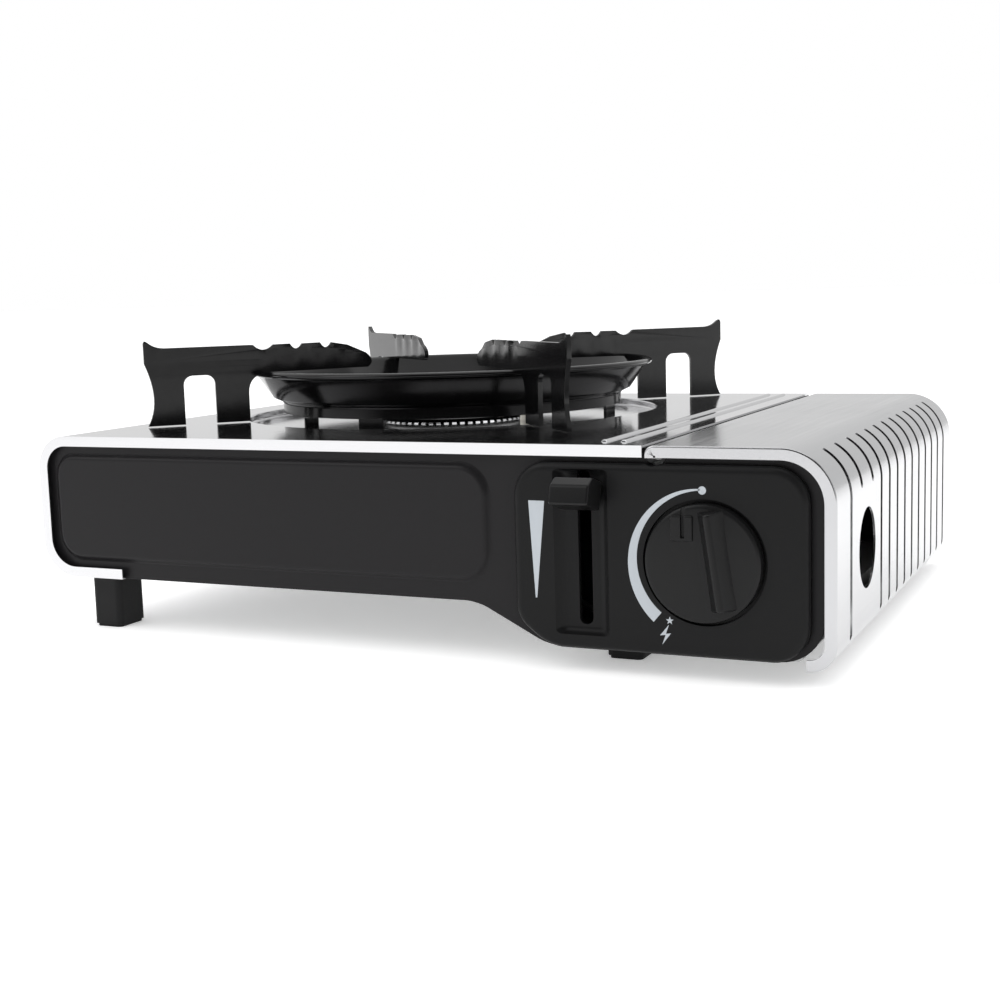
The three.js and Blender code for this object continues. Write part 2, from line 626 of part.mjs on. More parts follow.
function burnerBase() {
  const seat = FLANGE_Z - 2;
  const deep = FLANGE_Z - BOWL_DEEP;
  const bowl = turned([
    [0, deep], [14, deep], [BOWL_RADIUS, deep + 12], [BOWL_RADIUS, seat - 2],
    [PORT_RING_RADIUS + 6, seat - 2], [PORT_RING_RADIUS + 6, FLANGE_Z],
    [PORT_RING_RADIUS + 2, FLANGE_Z], [PORT_RING_RADIUS + 2, seat],
    [BOWL_RADIUS - 2.5, seat], [BOWL_RADIUS - 2.5, deep + 13], [13, deep + 3], [0, deep + 3],
  ], ...burnerCentre);
  const socket = alongTube(TUBE_LENGTH - 8, TUBE_LENGTH + 1.5, TUBE_RADIUS + 3);
  return bowl.add(socket)
    .subtract(alongTube(TUBE_LENGTH - 10, TUBE_LENGTH - GAP * 2, TUBE_RADIUS + GAP))
    .subtract(alongTube(TUBE_LENGTH - 10, TUBE_LENGTH + 6, TUBE_RADIUS - 2))
    .subtract(bar("z", electrodePlace, 3.2, FLANGE_Z - 6, FLANGE_Z + 1));
}

function mixingTube() {
  const airPorts = bar("z", [0, 0], 2.6, -20, 20);
  const along = new THREE.Vector3().copy(tubeLine).normalize();
  const port = airPorts.translate([
    tubeStart.x + along.x * 14, tubeStart.y + along.y * 14, tubeStart.z]);
  return alongTube(0, TUBE_LENGTH - 3 * GAP, TUBE_RADIUS)
    .subtract(alongTube(2, TUBE_LENGTH + 5, TUBE_RADIUS - 1.2))
    .subtract(alongTube(-1, 3, 3.4))
    .subtract(port);
}

function gasJet() {
  return alongTube(-8, 6, 3).subtract(alongTube(-9, 7, 1.2, 12));
}

// Ring with slots cut across its upper edge, where the flame comes out.
function burnerRing() {
  const low = FLANGE_Z - 2 + GAP;
  const inner = PORT_RING_RADIUS - 5;
  const ring = turned([
    [inner, low], [PORT_RING_RADIUS + 0.8, low], [PORT_RING_RADIUS + 0.8, low + 1.6],
    [PORT_RING_RADIUS - 0.6, RING_TOP], [inner, RING_TOP], [inner, low],
  ], ...burnerCentre, 60);
  const cuts = Array.from({ length: PORT_COUNT }, (_, i) => {
    const cut = new THREE.BoxGeometry(12, PORT_WIDTH, 1.4);
    cut.translate(PORT_RING_RADIUS - 2, 0, RING_TOP);
    cut.rotateZ((i / PORT_COUNT) * 2 * Math.PI);
    cut.translate(...burnerCentre, 0);
    return solid(cut);
  });
  return ring.subtract(joined(cuts));
}

function burnerCap() {
  const low = RING_TOP + GAP;
  return turned([
    [0, low], [PORT_RING_RADIUS - 1.5, low], [PORT_RING_RADIUS - 1, low + 1],
    [PORT_RING_RADIUS - 4, low + 2.6], [16, low + 4], [0, low + 4.2],
  ], ...burnerCentre);
}

function electrodeInsulator() {
  return bar("z", electrodePlace, 2.8, DECK_TOP - 21, DECK_TOP + 1.5, 20)
    .subtract(bar("z", electrodePlace, 1.1, DECK_TOP - 22, DECK_TOP + 2, 12));
}

function electrodeWire() {
  const up = bar("z", electrodePlace, 0.8, DECK_TOP - 25, DECK_TOP + 4, 12);
  const tip = block(electrodePlace[0] - 4.6, electrodePlace[0] + 0.5,
    electrodePlace[1] - 0.5, electrodePlace[1] + 0.5, DECK_TOP + 3, DECK_TOP + 4);
  return up.add(tip);
}

// A round tube or wire along a smooth curve through points.
function routed(points, radius, sides, steps) {
  const curve = new THREE.CatmullRomCurve3(points.map((p) => new THREE.Vector3(...p)));
  const section = new THREE.Shape().absarc(0, 0, radius, 0, 2 * Math.PI, false);
  return solid(new THREE.ExtrudeGeometry(
    section, { steps, extrudePath: curve, bevelEnabled: false, curveSegments: sides / 2 }));
}

// Copper pipe from the regulator outlet, through the divider, to the jet.
function gasPipe() {
  const outlet = [REGULATOR.x0 - 1.5, TUBE_HOLE_Y - 8, OUTLET_Z];
  const along = new THREE.Vector3().copy(tubeLine).normalize();
  const behindJet = (distance) => [
    tubeStart.x - along.x * distance, tubeStart.y - along.y * distance, TUBE_Z];
  return routed([
    outlet, [DIVIDER_X + 8, TUBE_HOLE_Y - 8, OUTLET_Z + 1],
    [DIVIDER_X + 2.5, TUBE_HOLE_Y - 9, TUBE_Z - 11],
    [DIVIDER_X - 1, TUBE_HOLE_Y - 10, TUBE_Z - 3], behindJet(13), behindJet(8.4),
  ], 1.8, 8, 20);
}

function igniterLead() {
  return routed([
    [strikerPlace[0] - 6.8, strikerPlace[1], LEAD_HOLE_Z - 4],
    [DIVIDER_X + 7, fromFront(LEAD_HOLE_Y), LEAD_HOLE_Z - 2],
    [DIVIDER_X, fromFront(LEAD_HOLE_Y), LEAD_HOLE_Z],
    [LEVER_X, fromFront(LEAD_HOLE_Y + 3), LEAD_HOLE_Z - 0.5],
    [DIVIDER_X - 40, fromFront(LEAD_HOLE_Y + 16), LEAD_HOLE_Z + 6],
    [DIVIDER_X - 68, fromFront(LEAD_HOLE_Y + 44), BURNER_BASE + 13],
    [electrodePlace[0] + 14, electrodePlace[1] - 22, DECK_TOP - 39],
    [electrodePlace[0] + 2, electrodePlace[1] - 4, DECK_TOP - 33],
    [...electrodePlace, DECK_TOP - 26],
  ], 1.2, 8, 28);
}

// ---------------------------------------------------------------- lock lever and carriage
// The arm is drawn level, pointing at the front, then swung up to its resting position.
const leverGroup = new THREE.Group();
leverGroup.position.set(0, fromFront(LEVER_PIVOT_Y), LEVER_PIVOT_Z);
leverGroup.rotation.x = radians(-LEVER_SWING);
stove.add(leverGroup);

function leverArm() {
  const shape = outline([
    [-LEVER_ARM - 5, -3, 1], [-18, -3, 4], [-4, -8, 5], [7, -8, 5], [8, 6, 4],
    [6, 13, 3], [-3, 13, 3], [-7, 4, 6], [-18, 3, 4], [-LEVER_ARM - 5, 3, 1],
  ]);
  return prism(shape, "x", LEVER_X - LEVER_PLATE / 2, LEVER_X + LEVER_PLATE / 2)
    .subtract(bar("x", [0, 0], PIN_RADIUS + RUNNING, LEVER_X - 3, LEVER_X + 3));
}

function leverCap() {
  const side = outline([
    [-LEVER_ARM, -CAP_HEIGHT / 2, 1], [-LEVER_ARM, CAP_HEIGHT / 2, 1],
    [-LEVER_ARM - CAP_LENGTH + 3, CAP_HEIGHT / 2, 2], [-LEVER_ARM - CAP_LENGTH, 1, 2],
    [-LEVER_ARM - CAP_LENGTH, -CAP_HEIGHT / 2, 1.5],
  ]);
  const socket = block(
    LEVER_X - LEVER_PLATE / 2 - GAP, LEVER_X + LEVER_PLATE / 2 + GAP,
    -LEVER_ARM - 5 - GAP, -LEVER_ARM + 1, -3 - GAP, 3 + GAP);
  return prism(side, "x", LEVER_X - CAP_WIDTH / 2, LEVER_X + CAP_WIDTH / 2).subtract(socket);
}

function leverPivotPin() {
  return bar("x", [fromFront(LEVER_PIVOT_Y), LEVER_PIVOT_Z], PIN_RADIUS,
    LEVER_X - 4, DIVIDER_X - SHEET - GAP);
}

// Plate that hooks behind the cartridge's collar and draws it onto the inlet.

function clampCarriage() {
  const plate = block(DIVIDER_X + 2, RIGHT - 10, CARRIAGE_Y, CARRIAGE_Y + CARRIAGE_SHEET,
    CARRIAGE_LOW, CARRIAGE_HIGH);
  const throat = bar("y", [CARTRIDGE_X, INLET_Z], CARRIAGE_THROAT, CARRIAGE_Y - 2, CARRIAGE_Y + 4)
    .add(block(CARTRIDGE_X - CARRIAGE_THROAT, CARTRIDGE_X + CARRIAGE_THROAT,
      CARRIAGE_Y - 2, CARRIAGE_Y + 4, INLET_Z, CARRIAGE_HIGH + 8));
  const tab = block(LEVER_X + LEVER_PLATE + 2, DIVIDER_X + 4,
    CARRIAGE_Y, CARRIAGE_Y + CARRIAGE_SHEET, LEVER_PIVOT_Z + 7, LEVER_PIVOT_Z + 12);
  return plate.add(tab).subtract(throat);
}

// ---------------------------------------------------------------- lid and hinge
const lidPath = [
  [LID_EDGE + LID_GAP, HINGE_Z - 0.2],
  [LID_EDGE + LID_GAP, DECK_TOP, LID_ROLL],
  [RIGHT, DECK_TOP, LID_CORNER],
  [RIGHT, LID_DROP, LID_FOOT_CORNER],
  [RIGHT - LID_LIP, LID_DROP],
];

function cartridgeLid() {
  const skin = prism(strip(lidPath, SHEET), "y", FRONT, REAR, 4);
  const lipTop = LID_DROP + SHEET * 1.5;
  const rimShape = outline([
    ...moved(lidPath, IN_SKIN),
    [RIGHT - LID_LIP, lipTop],
    [RIGHT - RIM, lipTop, LID_FOOT_CORNER - RIM],
    [RIGHT - RIM, DECK_TOP - RIM, LID_CORNER - RIM],
    [LID_EDGE + LID_GAP + 2, DECK_TOP - RIM],
  ]);
  const slots = [SLOT_FIRST];
  for (let i = 0; i < SLOT_RUN; i++) slots.push(SLOT_RUN_FIRST + i * SLOT_PITCH);
  const cut = (y, low) => block(RIGHT - SLOT_REACH, RIGHT + 1,
    fromFront(y) - SLOT_WIDTH / 2, fromFront(y) + SLOT_WIDTH / 2, low, DECK_TOP + 1);
  const short = [-1, 1].map((side) => cut(HOLE_Y + side * SHORT_SLOT_OFFSET, SHORT_SLOT_BOTTOM));
  const hole = bar("x", [fromFront(HOLE_Y), HOLE_Z], HOLE_RADIUS, RIGHT - 3, RIGHT + 1, 40);
  return joined([
    skin,
    prism(rimShape, "y", FRONT, FRONT + SHEET, 4),
    prism(rimShape, "y", REAR - SHEET, REAR, 4),
  ]).subtract(joined([...slots.map((y) => cut(y, SLOT_BOTTOM)), ...short])).subtract(hole);
}

const hingeAxis = [HINGE_X, HINGE_Z];

function hingeRod() {
  return bar("y", hingeAxis, HINGE_PIN, insideFront + 0.6, insideRear - 0.6, 16);
}

// A knuckle round the rod with a leaf welded under the lid.
function lidKnuckle(from, to) {
  const leaf = block(HINGE_X, HINGE_X + 16, from, to, HINGE_Z + KNUCKLE - SHEET, HINGE_Z + KNUCKLE);
  return bar("y", hingeAxis, KNUCKLE, from, to)
    .add(leaf)
    .subtract(bar("y", hingeAxis, HINGE_PIN + RUNNING, from - 1, to + 1, 16));
}

// A knuckle round the rod, on an arm that passes under the lid's rolled edge, with a leaf down the
// bay side of the divider.
function bodyKnuckle(from, to) {
  const leafFace = DIVIDER_X + GAP;
  const leaf = block(leafFace, leafFace + SHEET, from, to, HINGE_Z - 18, HINGE_Z - 5);
  const low = HINGE_Z - ARM_DROP;
  const arm = outline([
    [leafFace, low - ARM_SHEET], [HINGE_X + 3, low - ARM_SHEET], [HINGE_X + 3, HINGE_Z - GAP],
    [HINGE_X + 0.9, HINGE_Z - GAP], [HINGE_X + 1.8, low], [leafFace, low],
  ]);
  return joined([bar("y", hingeAxis, KNUCKLE, from, to), prism(arm, "y", from, to), leaf])
    .subtract(bar("y", hingeAxis, HINGE_PIN + GAP, from - 1, to + 1, 16));
}

// ---------------------------------------------------------------- pan support
// Outline of one fin in (distance from the burner's centre, height above the top plate).
function finOutline() {
  const shape = new THREE.Shape();
  const sole = GAP;
  shape.moveTo(LEG_INNER, sole);
  shape.lineTo(LEG_INNER + LEG_WIDTH, sole);
  shape.lineTo(LEG_INNER + LEG_WIDTH, FIN_UNDER - 3);
  shape.quadraticCurveTo(LEG_INNER + LEG_WIDTH, FIN_UNDER, LEG_INNER + LEG_WIDTH + 3, FIN_UNDER);
  shape.lineTo(LEG_OUTER - 3, FIN_UNDER);
  shape.quadraticCurveTo(LEG_OUTER, FIN_UNDER, LEG_OUTER, FIN_UNDER - 3);
  shape.lineTo(LEG_OUTER, sole);
  shape.lineTo(FIN_REACH - 0.4, sole);
  shape.quadraticCurveTo(FIN_REACH - 6.5, 11, FIN_REACH, 28);
  shape.lineTo(FIN_REACH, FIN_TIP);
  shape.lineTo(FIN_REACH - 6.5, FIN_TOP);
  shape.lineTo(TOOTH_PLACES[0] + TOOTH_WIDTH * 0.6, FIN_TOP);
  for (const middle of TOOTH_PLACES) {
    shape.lineTo(middle + TOOTH_WIDTH * 0.45, FIN_TOP - 0.4);
    shape.quadraticCurveTo(
      middle, FIN_TOP - TOOTH_DEEP, middle - TOOTH_WIDTH * 0.4, FIN_TOP - 0.8);
  }
  shape.lineTo(52, FIN_TOP - 1.2);
  shape.lineTo(41, FIN_TOP - 6);
  shape.quadraticCurveTo(37.8, FIN_TOP - 10, 41, FIN_UNDER + 0.4);
  shape.lineTo(LEG_INNER - 11, FIN_UNDER);
  shape.quadraticCurveTo(LEG_INNER, FIN_UNDER, LEG_INNER, FIN_UNDER - 9);
  shape.closePath();
  return shape;
}

// Dish that the fins stand on: rolled rim, sloping wall, floor ring and skirt.
const dishProfile = [
  [DISH_RADIUS, DISH_RIM - 1.2], [DISH_RADIUS - 1, DISH_RIM], [DISH_RADIUS - 2.8, DISH_RIM],
  [DISH_SKIRT + 3.2, 10.2], [DISH_SKIRT, 8.8], [DISH_HOLE + 2, 8.8], [DISH_HOLE, 10.4],
  [DISH_HOLE - 0.6, 9.2], [DISH_HOLE + 1.4, 7.6], [DISH_SKIRT - DISH_SHEET, 7.6],
  [DISH_SKIRT - DISH_SHEET, 2.5], [DISH_SKIRT, 2.5], [DISH_SKIRT, 7.4],
  [DISH_SKIRT + 4, 9], [DISH_RADIUS - 3.2, DISH_RIM - 2.6], [DISH_RADIUS - 1, DISH_RIM - 2.6],
];

function dishSolid(grow = 0) {
  const placed = dishProfile.map(([r, z]) => [r, z + DECK_TOP]);
  const profile = grow === 0 ? placed : moved(placed, grow, true).map(([r, z]) => [r, z]);
  return turned([...profile, profile[0]], ...burnerCentre, 48);
}

function panDish() {
  const legAngles = [0, 90, 180, 270];
  const legs = legAngles.map((angle) => {
    const leg = new THREE.BoxGeometry(DISH_SHEET, DISH_FOOT_WIDTH, 2.5 + RECESS_DEEP + 1);
    leg.translate(DISH_SKIRT - DISH_SHEET / 2, 0, DECK_TOP + (3.5 - RECESS_DEEP + GAP) / 2);
    leg.rotateZ(radians(angle));
    leg.translate(...burnerCentre, 0);
    return solid(leg);
  });
  return joined([dishSolid(), ...legs]);
}

function finSolid(angle) {
  const plate = new THREE.ExtrudeGeometry(
    finOutline(), { depth: FIN_SHEET, bevelEnabled: false, curveSegments: 4 });
  plate.rotateX(Math.PI / 2);
  plate.translate(0, FIN_SHEET / 2, DECK_TOP);
  plate.rotateZ(radians(angle));
  plate.translate(...burnerCentre, 0);
  return solid(plate);
}

// ---------------------------------------------------------------- feet
function foot(x, y0, top) {
  const shape = rectangle(x - FOOT_WIDTH / 2, x + FOOT_WIDTH / 2, y0, y0 + FOOT_LONG, 2.5);
  const sole = rectangle(
    x - FOOT_WIDTH / 2 + FOOT_TAPER, x + FOOT_WIDTH / 2 - FOOT_TAPER,
    y0 + FOOT_TAPER, y0 + FOOT_LONG - FOOT_TAPER, 2);
  return prism(shape, "z", 1.2, top).add(prism(sole, "z", 0, 2));
}

// ---------------------------------------------------------------- assembly
addPiece("top_shell", topShell(), "stainless");
addPiece("front_panel", frontPanel(), "blackPaint");
addPiece("rear_panel", rearPanel(), "blackPaint");
addPiece("control_cover", controlCover(), "blackPlastic");
addPiece("base_pan", basePan(), "zinc");
addPiece("divider_wall", dividerWall(), "zinc");
addPiece("cartridge_cradle", cartridgeCradle(), "zinc");

const footBack = REAR - FOOT_FRONT - FOOT_LONG;
const leftTop = BURNER_BASE - GAP;
const rightTop = BAY_BASE;
addPiece("foot_front_left", foot(FOOT_LEFT_X, fromFront(FOOT_FRONT), leftTop), "rubber");
addPiece("foot_rear_left", foot(FOOT_LEFT_X, footBack, leftTop), "rubber");
addPiece("foot_front_right", foot(FOOT_RIGHT_X, fromFront(FOOT_RIGHT_FRONT), rightTop), "rubber");
addPiece("foot_rear_right", foot(FOOT_RIGHT_X, footBack, rightTop), "rubber");

addPiece("regulator_body", regulatorBody(), "aluminium");
addPiece("regulator_bracket", regulatorBracket(), "zinc");
addPiece("inlet_seal", inletSeal(), "rubber");
addPiece("valve_spindle", valveSpindle(), "brass");
addPiece("ignition_cam", ignitionCam(), "blackPlastic");
addPiece("knob", knob(), "blackPlastic");
addPiece("piezo_igniter", piezoIgniter(), "blackPlastic");
addPiece("igniter_striker", igniterStriker(), "zinc");
addPiece("igniter_lead", igniterLead(), "rubber");

addPiece("burner_base", burnerBase(), "aluminium");
addPiece("burner_ring", burnerRing(), "stainless");
addPiece("burner_cap", burnerCap(), "blackPaint");
addPiece("mixing_tube", mixingTube(), "zinc");
addPiece("gas_jet", gasJet(), "brass");
addPiece("gas_pipe", gasPipe(), "brass");
addPiece("electrode_insulator", electrodeInsulator(), "ceramic");
addPiece("electrode_wire", electrodeWire(), "zinc");

addPiece("lever_arm", leverArm(), "zinc", leverGroup);
addPiece("lever_cap", leverCap(), "blackPlastic", leverGroup);
addPiece("lever_pivot_pin", leverPivotPin(), "zinc");
addPiece("clamp_carriage", clampCarriage(), "zinc");

addPiece("cartridge_lid", cartridgeLid(), "stainless");
addPiece("hinge_rod", hingeRod(), "zinc");
const ends = {
  front: insideFront + KNUCKLE_INSET, rear: insideRear - KNUCKLE_INSET - KNUCKLE_LENGTH,
};
for (const [end, start] of Object.entries(ends)) {
  const beside = end === "front" ? start + KNUCKLE_LENGTH + GAP : start - KNUCKLE_LENGTH - GAP;
  addPiece(`lid_knuckle_${end}`, lidKnuckle(start, start + KNUCKLE_LENGTH), "zinc");
  addPiece(`body_knuckle_${end}`, bodyKnuckle(beside, beside + KNUCKLE_LENGTH), "zinc");
}

addPiece("pan_dish", panDish(), "enamel");
const dishRoom = dishSolid(GAP);
const finPlaces = { rear_right: 45, rear_left: 135, front_left: 225, front_right: 315 };
for (const [place, angle] of Object.entries(finPlaces)) {
  addPiece(`fin_${place}`, finSolid(angle).subtract(dishRoom), "enamel");
}

export default stove;
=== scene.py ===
"""Portable single-burner gas stove: fine shapes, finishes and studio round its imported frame.

Sizes are in millimetres and are turned into metres where a mesh is made. +X runs from the
burner side to the lid side, +Y from the front panel to the back, and +Z up.
"""

import json
import logging
import math
from contextlib import contextmanager
from dataclasses import dataclass
from enum import Enum
from typing import Callable, Iterator, Sequence

import bpy
from mathutils import Matrix, Vector


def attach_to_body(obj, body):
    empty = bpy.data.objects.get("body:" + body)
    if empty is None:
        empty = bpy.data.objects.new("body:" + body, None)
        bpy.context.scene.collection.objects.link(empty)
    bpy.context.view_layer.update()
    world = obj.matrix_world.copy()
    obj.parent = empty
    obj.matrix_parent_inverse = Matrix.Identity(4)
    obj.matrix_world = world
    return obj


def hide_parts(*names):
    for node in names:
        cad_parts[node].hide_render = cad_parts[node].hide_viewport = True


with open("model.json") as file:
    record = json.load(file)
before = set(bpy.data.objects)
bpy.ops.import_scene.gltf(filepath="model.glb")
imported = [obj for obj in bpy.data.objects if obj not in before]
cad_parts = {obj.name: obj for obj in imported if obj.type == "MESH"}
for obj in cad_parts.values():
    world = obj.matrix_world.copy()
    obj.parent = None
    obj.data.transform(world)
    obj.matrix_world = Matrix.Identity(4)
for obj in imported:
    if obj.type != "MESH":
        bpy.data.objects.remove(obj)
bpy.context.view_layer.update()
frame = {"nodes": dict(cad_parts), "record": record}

log = logging.getLogger("stove")

MM = 0.001
TINY = 0.05  # two lengths closer than this are the same
DECK_TOP = 83.0
FRONT = -118.0
REAR = 134.0
LEFT = -170.0
RIGHT = 170.0
SHEET = 0.8
BURNER = (-42.7, 24.0)
KNOB = (124.4, 42.6)
HINGE = (105.6, 79.6)
HINGE_ROOM = 3.9
WHITE = (1, 1, 1, 1)
LYING = ((0, math.pi / 2, 0), (math.pi / 2, 0, 0), (0, 0, 0))  # turns for drums along X, Y and Z

Point = tuple[float, float, float]
Profile = Sequence[tuple[float, float]]
Colour = tuple[float, float, float]


class Part(Enum):
    """What an edit-mode operator works on."""

    VERT = "VERT"
    EDGE = "EDGE"
    FACE = "FACE"


class Grain(Enum):
    """The fine pattern that a finish has."""

    BRUSHED_ALONG_X = (2.0, 90.0, 90.0)
    BRUSHED_ALONG_Y = (90.0, 2.0, 90.0)
    BRUSHED_ALONG_Z = (90.0, 90.0, 2.0)
    EVEN = (30.0, 30.0, 30.0)


# ------------------------------------------------------------------ modelling
def clear_selection() -> None:
    """Deselects every object."""
    bpy.ops.object.select_all(action="DESELECT")


def activate(piece: bpy.types.Object) -> None:
    """Makes one object the selected and active one."""
    clear_selection()
    piece.select_set(True)
    bpy.context.view_layer.objects.active = piece


def settle(piece: bpy.types.Object) -> None:
    """Applies an object's place, turn and size to its mesh."""
    activate(piece)
    bpy.ops.object.transform_apply(location=True, rotation=True, scale=True)


def box(name: str, low: Point, high: Point) -> bpy.types.Object:
    """Adds a box between two corners.

    Args:
        name: The new object's name.
        low: Its lowest corner.
        high: Its highest corner.

    Returns:
        The box, at the origin with its place in its mesh.
    """
    clear_selection()
    middle = [(a + b) / 2 * MM for a, b in zip(low, high)]
    size = [(b - a) * MM for a, b in zip(low, high)]
    bpy.ops.mesh.primitive_cube_add(size=1, location=middle, scale=size)
    piece = bpy.context.active_object
    piece.name = name
    settle(piece)
    return piece


def drum(radius: float, length: float, centre: Point, axis: int, sides: int) -> bpy.types.Object:
    """Adds a cylinder to cut with.

    Args:
        radius: Its radius.
        length: Its length, half to each side of its middle.
        centre: Its middle.
        axis: The axis that it lies along, 0, 1 or 2.
        sides: Faces round it.

    Returns:
        The cylinder, at the origin with its place in its mesh.
    """
    clear_selection()
    bpy.ops.mesh.primitive_cylinder_add(
        vertices=sides, radius=radius * MM, depth=length * MM, rotation=LYING[axis],
        location=[c * MM for c in centre])
    piece = bpy.context.active_object
    settle(piece)
    return piece


def flat_plate(name: str, outline: Profile, thickness: float, y: float = 0.0) -> bpy.types.Object:
    """Cuts an upright plate to an outline.

    Args:
        name: The new object's name.
        outline: Its (x, z) points, in order.
        thickness: How thick it is.
        y: Where the middle of its thickness is.

    Returns:
        The plate, at the origin with its place in its mesh.
    """
    clear_selection()
    curve = bpy.data.curves.new(name, "CURVE")
    curve.dimensions = "2D"
    curve.fill_mode = "BOTH"
    spline = curve.splines.new("POLY")
    spline.points.add(len(outline) - 1)
    for place, (x, z) in zip(spline.points, outline):
        place.co = (x * MM, z * MM, 0, 1)
    spline.use_cyclic_u = True
    curve.extrude = thickness / 2 * MM
    piece = bpy.data.objects.new(name, curve)
    bpy.context.collection.objects.link(piece)
    activate(piece)
    bpy.ops.object.convert(target="MESH")
    piece = bpy.context.active_object
    piece.rotation_euler = LYING[1]
    piece.location = (0, y * MM, 0)
    settle(piece)
    return piece


@contextmanager
def editing(piece: bpy.types.Object, part: Part, test: Callable[..., bool]) -> Iterator[None]:
    """Enters edit mode with the vertices, edges or faces that pass a test selected.

    Args:
        piece: The object to edit.
        part: What the test is asked about.
        test: For a vertex it gets its place; for an edge, both its ends; for a face, its
            middle and normal. Places are in millimetres.
    """
    mesh = piece.data
    for group in (mesh.vertices, mesh.edges, mesh.polygons):
        group.foreach_set("select", [False] * len(group))
    place = [v.co / MM for v in mesh.vertices]
    if part is Part.VERT:
        for vertex in mesh.vertices:
            vertex.select = test(place[vertex.index])
    elif part is Part.EDGE:
        for edge in mesh.edges:
            edge.select = test(place[edge.vertices[0]], place[edge.vertices[1]])
    else:
        for face in mesh.polygons:
            face.select = test(face.center / MM, face.normal)
    activate(piece)
    bpy.context.tool_settings.mesh_select_mode = tuple(part is each for each in Part)
    bpy.ops.object.mode_set(mode="EDIT")
    yield
    bpy.ops.object.mode_set(mode="OBJECT")


def everything(*_: object) -> bool:
    """A selection test that always passes."""
    return True


def near(a: float, b: float) -> bool:
    """Whether two lengths are the same to within a small tolerance."""
    return abs(a - b) < TINY


def round_corner(
    piece: bpy.types.Object, u: float, v: float, radius: float, segments: int = 10, axis: int = 1,
) -> None:
    """Rounds one corner of a box or prism, all along its length.

    Args:
        piece: The object to shape.
        u: The corner's first coordinate, across the prism's axis.
        v: Its second.
        radius: How far the rounding reaches from the corner.
        segments: Faces round the corner.
        axis: The prism's axis, 0, 1 or 2.
    """
    across = [i for i in range(3) if i != axis]

    def on_corner(a: Vector, b: Vector) -> bool:
        return all(near(p[across[0]], u) and near(p[across[1]], v) for p in (a, b))

    with editing(piece, Part.EDGE, on_corner):
        bpy.ops.mesh.bevel(offset=radius * MM, segments=segments, affect="EDGES")


def inset_steps(steps: Sequence[tuple[float, float]], even: bool = True) -> None:
    """Insets the selected face again and again.

    Args:
        steps: Each inset's (width, depth).
        even: Whether the width is kept the same round sharp turns.
    """
    for width, depth in steps:
        bpy.ops.mesh.inset(thickness=width * MM, depth=depth * MM, use_even_offset=even)


def push(offset: Point) -> None:
    """Extrudes the selection by an offset."""
    value = [c * MM for c in offset]
    bpy.ops.mesh.extrude_region_move(TRANSFORM_OT_translate={"value": value})


def turned(
    name: str, profile: Profile, centre: tuple[float, float], segments: int = 128,
) -> bpy.types.Object:
    """Builds a turned shape about a vertical axis, from a ring extruded and resized.

    Args:
        name: The new object's name.
        profile: (radius, height) points. A profile that ends where it starts is closed.
        centre: The axis, in x and y.
        segments: Faces round the shape.

    Returns:
        The finished shape.
    """
    clear_selection()
    radius, height = profile[0]
    middle = (centre[0] * MM, centre[1] * MM, height * MM)
    bpy.ops.mesh.primitive_circle_add(
        vertices=segments, radius=radius * MM, location=middle, fill_type="NOTHING")
    piece = bpy.context.active_object
    piece.name = name
    settle(piece)
    with editing(piece, Part.EDGE, everything):
        for nearer, further in zip(profile, profile[1:]):
            bpy.ops.mesh.extrude_edges_move(
                TRANSFORM_OT_translate={"value": (0, 0, (further[1] - nearer[1]) * MM)})
            scale = further[0] / nearer[0]
            bpy.ops.transform.resize(value=(scale, scale, 1), center_override=(
                middle[0], middle[1], further[1] * MM))
        closed = profile[0] == profile[-1]
        if not closed:
            bpy.ops.mesh.edge_face_add()
    if not closed:
        with editing(piece, Part.EDGE, lambda a, b: near(a.z, height) and near(b.z, height)
                     and near((a - Vector((*centre, height))).length, radius)):
            bpy.ops.mesh.edge_face_add()
    face_outwards(piece)
    return piece


def face_outwards(piece: bpy.types.Object) -> None:
    """Merges doubles and turns every face outwards."""
    with editing(piece, Part.VERT, everything):
        bpy.ops.mesh.remove_doubles(threshold=1e-6)
        bpy.ops.mesh.normals_make_consistent(inside=False)


def stand_forward(piece: bpy.types.Object, centre: Point) -> None:
    """Turns a shape built about the Z axis at the origin to point its top at the front."""
    piece.rotation_euler = (math.pi / 2, 0, 0)
    piece.location = [c * MM for c in centre]
    settle(piece)


def merge_flat(piece: bpy.types.Object) -> None:
    """Merges faces that lie in one plane."""
    with editing(piece, Part.FACE, everything):
        bpy.ops.mesh.dissolve_limited(angle_limit=math.radians(0.5))


def combine(piece: bpy.types.Object, other: bpy.types.Object, how: str) -> None:
    """Cuts, joins or intersects one shape with another, which is used up.

    Args:
        piece: The shape that is kept.
        other: The tool shape.
        how: DIFFERENCE, UNION or INTERSECT.
    """
    activate(piece)
    modifier = piece.modifiers.new("combine", "BOOLEAN")
    modifier.object = other
    modifier.operation = how
    modifier.solver = "EXACT"
    bpy.ops.object.modifier_apply(modifier=modifier.name)
    bpy.data.objects.remove(other, do_unlink=True)


def attach(piece: bpy.types.Object, *others: bpy.types.Object) -> None:
    """Makes other meshes part of one object."""
    activate(piece)
    for other in others:
        other.select_set(True)
    bpy.ops.object.join()


def soften(piece: bpy.types.Object, width: float, segments: int = 3, angle: float = 40) -> None:
    """Rounds every edge sharper than an angle, by a width."""
    activate(piece)
    modifier = piece.modifiers.new("soften", "BEVEL")
    modifier.width = width * MM
    modifier.segments = segments
    modifier.limit_method = "ANGLE"
    modifier.angle_limit = math.radians(angle)
    modifier.use_clamp_overlap = True
    bpy.ops.object.modifier_apply(modifier=modifier.name)


